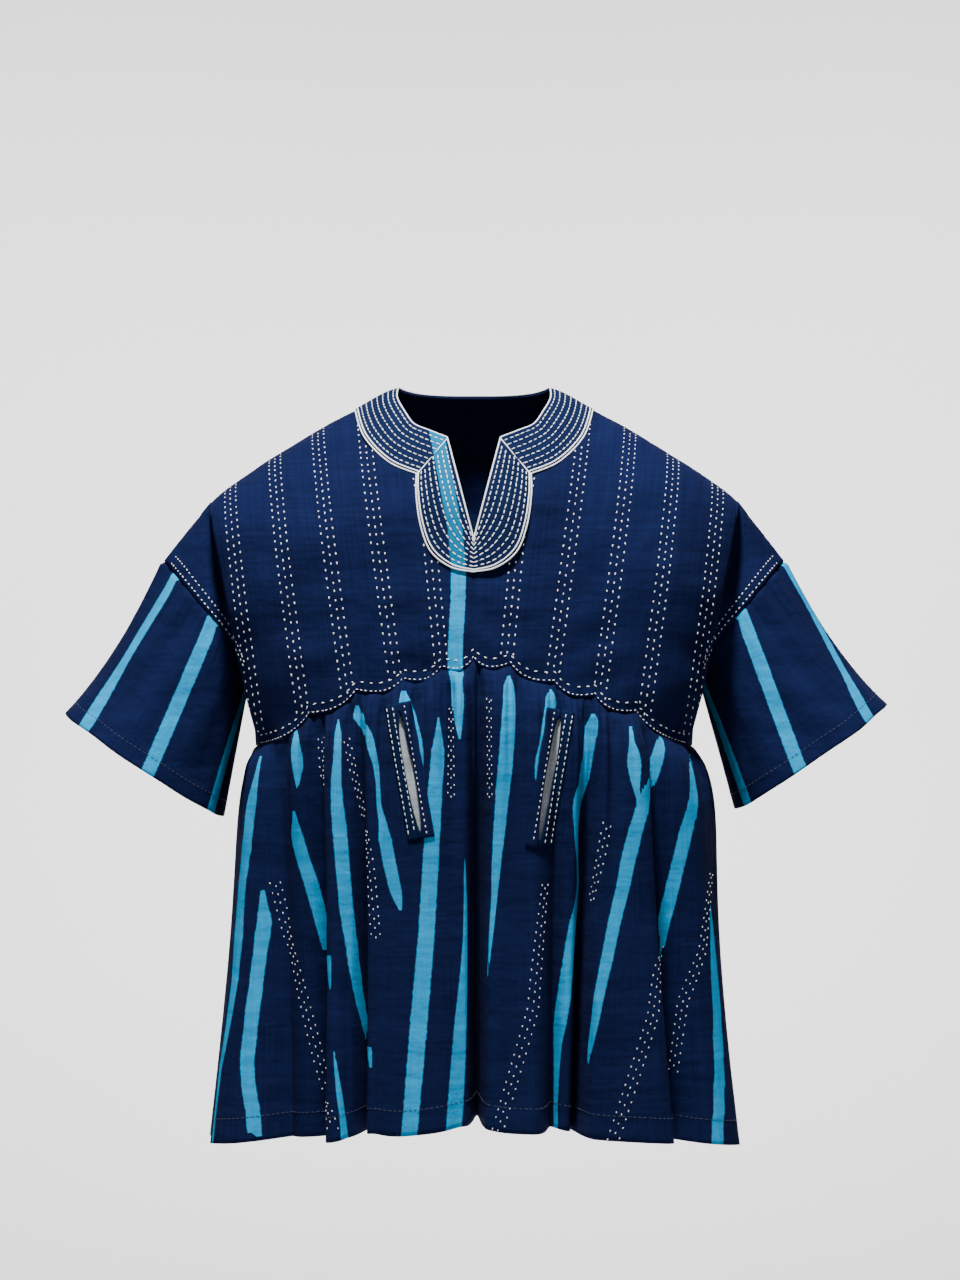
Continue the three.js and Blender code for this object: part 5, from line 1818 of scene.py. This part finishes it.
def hem_run(points, height):
    """The stitches round the hem, at a height over its edge."""
    ways = grid_ways(points)
    up = points[..., 2] - points[-1:, :, 2]
    line, out = [], []
    for c in range(points.shape[1]):
        r = np.interp(-height, -up[:, c], np.arange(points.shape[0]))
        line.append(between(points[:, c], r))
        out.append(between(ways[:, c], r))
    return Run(np.array(line), np.array(out), *HEM_STITCH)


def sew_skirt(dot, hem_depth):
    small_dot = (dot[0], dot[1] * SKIRT_DOT["length"], dot[2] * SKIRT_DOT["width"])
    falls = skirt_falls()
    for outward, face in FACE_NAMES.items():
        points = skirt_grid(outward)
        if outward == BACK:
            points = points[:, ::-1]
        runs = []
        for centre, rows in skirt_lines(outward, points):
            fall = float(falls[rows].mean())
            for off, start in LINE_ROWS:
                beside = off * LINE_SQUEEZE + off * (1 - LINE_SQUEEZE) * fall
                runs.append(grid_run(points, centre, rows, beside, small_dot, start))
        name = f"smock_skirt_{face}"
        stitch_piece(f"{name}_stitches", runs, "white_thread", SEEDS["skirt"] + outward)
        hem = hem_run(points, hem_depth - HEM_ROW_IN)
        stitch_piece(f"{name}_hem_stitches", [hem], "navy_thread", SEEDS["skirt_hem"] + outward)


def band_run(outward, sign, columns, row, lift, dash):
    """A run of dashes along one row of the bands."""
    points = panel_point(outward, sign, columns, row)
    beside = panel_point(outward, sign, columns, row + 0.06)
    along = np.gradient(points, axis=0)
    ways = unit(np.cross(along, beside - points))
    ways *= np.where(ways[:, 1] * outward < 0, -1, 1)[:, None]
    swell = BAND_SWELL * math.sin(math.pi * row / BAND_ROWS)
    return Run(points + ways * (lift + swell), ways, *dash)


def ways_from_neck(line):
    """Directions from the middle of the neck to the points of a line."""
    return unit(line - np.array(NECK_MIDDLE))


def round_line(row, lift):
    """The line at one row of the bands, all the way round the neck and the slit."""
    front = panel_point(FRONT, RIGHT, np.linspace(0, SHOULDER_COLUMN, SAMPLES["front"]), row)
    back = panel_point(BACK, RIGHT, np.linspace(SHOULDER_COLUMN, 0, SAMPLES["back"])[1:], row)
    right = np.vstack([front, back])
    left = right[::-1][1:-1].copy()
    left[:, 0] *= -1
    ring = np.vstack([right, left, right[:1]])
    run = run_of(ring)
    line = read_line(ring, run, np.arange(0, run[-1], CORD["step"]))
    return line + ways_from_neck(line) * lift * CORD["sunk"]


def sew_bands(dash, sizes):
    lift = BAND_GAP + sizes.band / MM
    runs = []
    for outward in (FRONT, BACK):
        spans = [(0.0, SHOULDER_COLUMN)]
        if outward == FRONT:
            spans = [(0.0, MITRE_COLUMN - MITRE_GAP), (MITRE_COLUMN + MITRE_GAP, SHOULDER_COLUMN)]
        for sign in (LEFT, RIGHT):
            for first, last in spans:
                columns = np.linspace(first, last, SAMPLES["band"])
                runs += [band_run(outward, sign, columns, row, lift, dash) for row in BAND_STITCH_ROWS]
    stitch_piece("smock_band_stitches", runs, "white_thread", SEEDS["bands"], loose=0.05)
    lines = [(round_line(row, lift), True) for row in BAND_CORD_ROWS]
    for sign in (LEFT, RIGHT):
        mitre = panel_point(FRONT, sign, MITRE_COLUMN, np.linspace(0.0, BAND_ROWS, SAMPLES["mitre"]))
        mitre[:, 1] -= lift
        lines.append((mitre, False))
    cords = [(line, ways_from_neck(line), closed) for line, closed in lines]
    cord_piece("smock_band_edging", cords, sizes.cord_radius / MM, "white_thread")


def sew_armholes(dot):
    stitch = (dot[0] * ARMHOLE_STITCH["pitch"], ARMHOLE_STITCH["length"], ARMHOLE_STITCH["width"])
    first, last = UNDERARM_COLUMN + ARMHOLE_FREE[0], SHOULDER_COLUMN - ARMHOLE_FREE[1]
    columns = np.linspace(first, last, SAMPLES["armhole"])
    runs = []
    for outward, name in PANEL_NAMES.items():
        for sign in (LEFT, RIGHT):
            for row in ARMHOLE_ROWS:
                line = cap_point(outward, sign, columns, row)
                runs += seen_run(TREES[name], outward, line[:, [0, 2]], *stitch)
    stitch_piece("smock_armhole_stitches", runs, "white_thread", SEEDS["armholes"])


def sew_cuffs():
    runs = []
    for sign in (LEFT, RIGHT):
        points = sleeve_points(sign, sleeve_steps(), sleeve_falls())
        ways = grid_ways(points, turned=sign == RIGHT)
        row = int(round((len(points) - 1) * CUFF_ROW))
        runs.append(Run(points[row], ways[row], *HEM_STITCH))
    stitch_piece("smock_sleeve_hem_stitches", runs, "navy_thread", SEEDS["cuffs"])


def sew_pockets():
    shares = np.linspace(-WELT_FREE, 1 + WELT_FREE, SAMPLES["welt"])
    runs = []
    for sign, side in SIDE_NAMES.items():
        start, down, out, _ = pocket_frame(sign)
        for part, way in WELT_WAYS.items():
            tree = TREES[f"smock_pocket_{side}_{part}_welt"]
            for off in WELT_ROWS[part]:
                places = [start + down * share + out * way * off for share in shares]
                runs += seen_run(tree, FRONT, places, *WELT_STITCHES[part])
    stitch_piece("smock_pocket_stitches", runs, "white_thread", SEEDS["pockets"], loose=0.06)


class SMOCK_OT_stitches(bpy.types.Operator):
    """Sews the dotted lines, the bands with their edging, and the seam, hem and pocket stitches"""

    bl_idname = "smock.stitches"
    bl_label = "Sew the stitches"

    def execute(self, context):
        sizes = context.scene.smock_sizes
        dot = [value / MM for value in (sizes.dot_pitch, sizes.dot_length, sizes.dot_width)]
        dash = [value / MM for value in (sizes.dash_pitch, sizes.dash_length, sizes.dash_width)]
        sew_chest(dot)
        sew_skirt(dot, sizes.hem_depth / MM)
        sew_bands(dash, sizes)
        sew_armholes(dot)
        sew_cuffs()
        sew_pockets()
        return {"FINISHED"}


class SMOCK_PT_panel(bpy.types.Panel):
    """Lists the steps and settings of the smock"""

    bl_label = "Smock"
    bl_idname = "SMOCK_PT_panel"
    bl_space_type = "VIEW_3D"
    bl_region_type = "UI"
    bl_category = "Smock"

    def draw(self, context):
        for step in STEPS:
            self.layout.operator(step.bl_idname)
        for settings in (context.scene.smock_sizes, context.scene.smock_colours):
            for name in settings.__annotations__:
                self.layout.prop(settings, name)


STEPS = (
    SMOCK_OT_stage,
    SMOCK_OT_bodice,
    SMOCK_OT_skirt,
    SMOCK_OT_sleeves,
    SMOCK_OT_bands,
    SMOCK_OT_pockets,
    SMOCK_OT_stitches,
)
CLASSES = (SmockSizes, SmockColours, *STEPS, SMOCK_PT_panel)


def register():
    for made in CLASSES:
        bpy.utils.register_class(made)
    bpy.types.Scene.smock_sizes = bpy.props.PointerProperty(type=SmockSizes)
    bpy.types.Scene.smock_colours = bpy.props.PointerProperty(type=SmockColours)


def unregister():
    del bpy.types.Scene.smock_colours
    del bpy.types.Scene.smock_sizes
    for made in reversed(CLASSES):
        bpy.utils.unregister_class(made)


def main():
    register()
    bpy.ops.smock.stage()
    bpy.ops.smock.bodice()
    bpy.ops.smock.skirt()
    bpy.ops.smock.sleeves()
    bpy.ops.smock.bands()
    bpy.ops.smock.pockets()
    bpy.ops.smock.stitches()


if __name__ == "__main__":
    main()
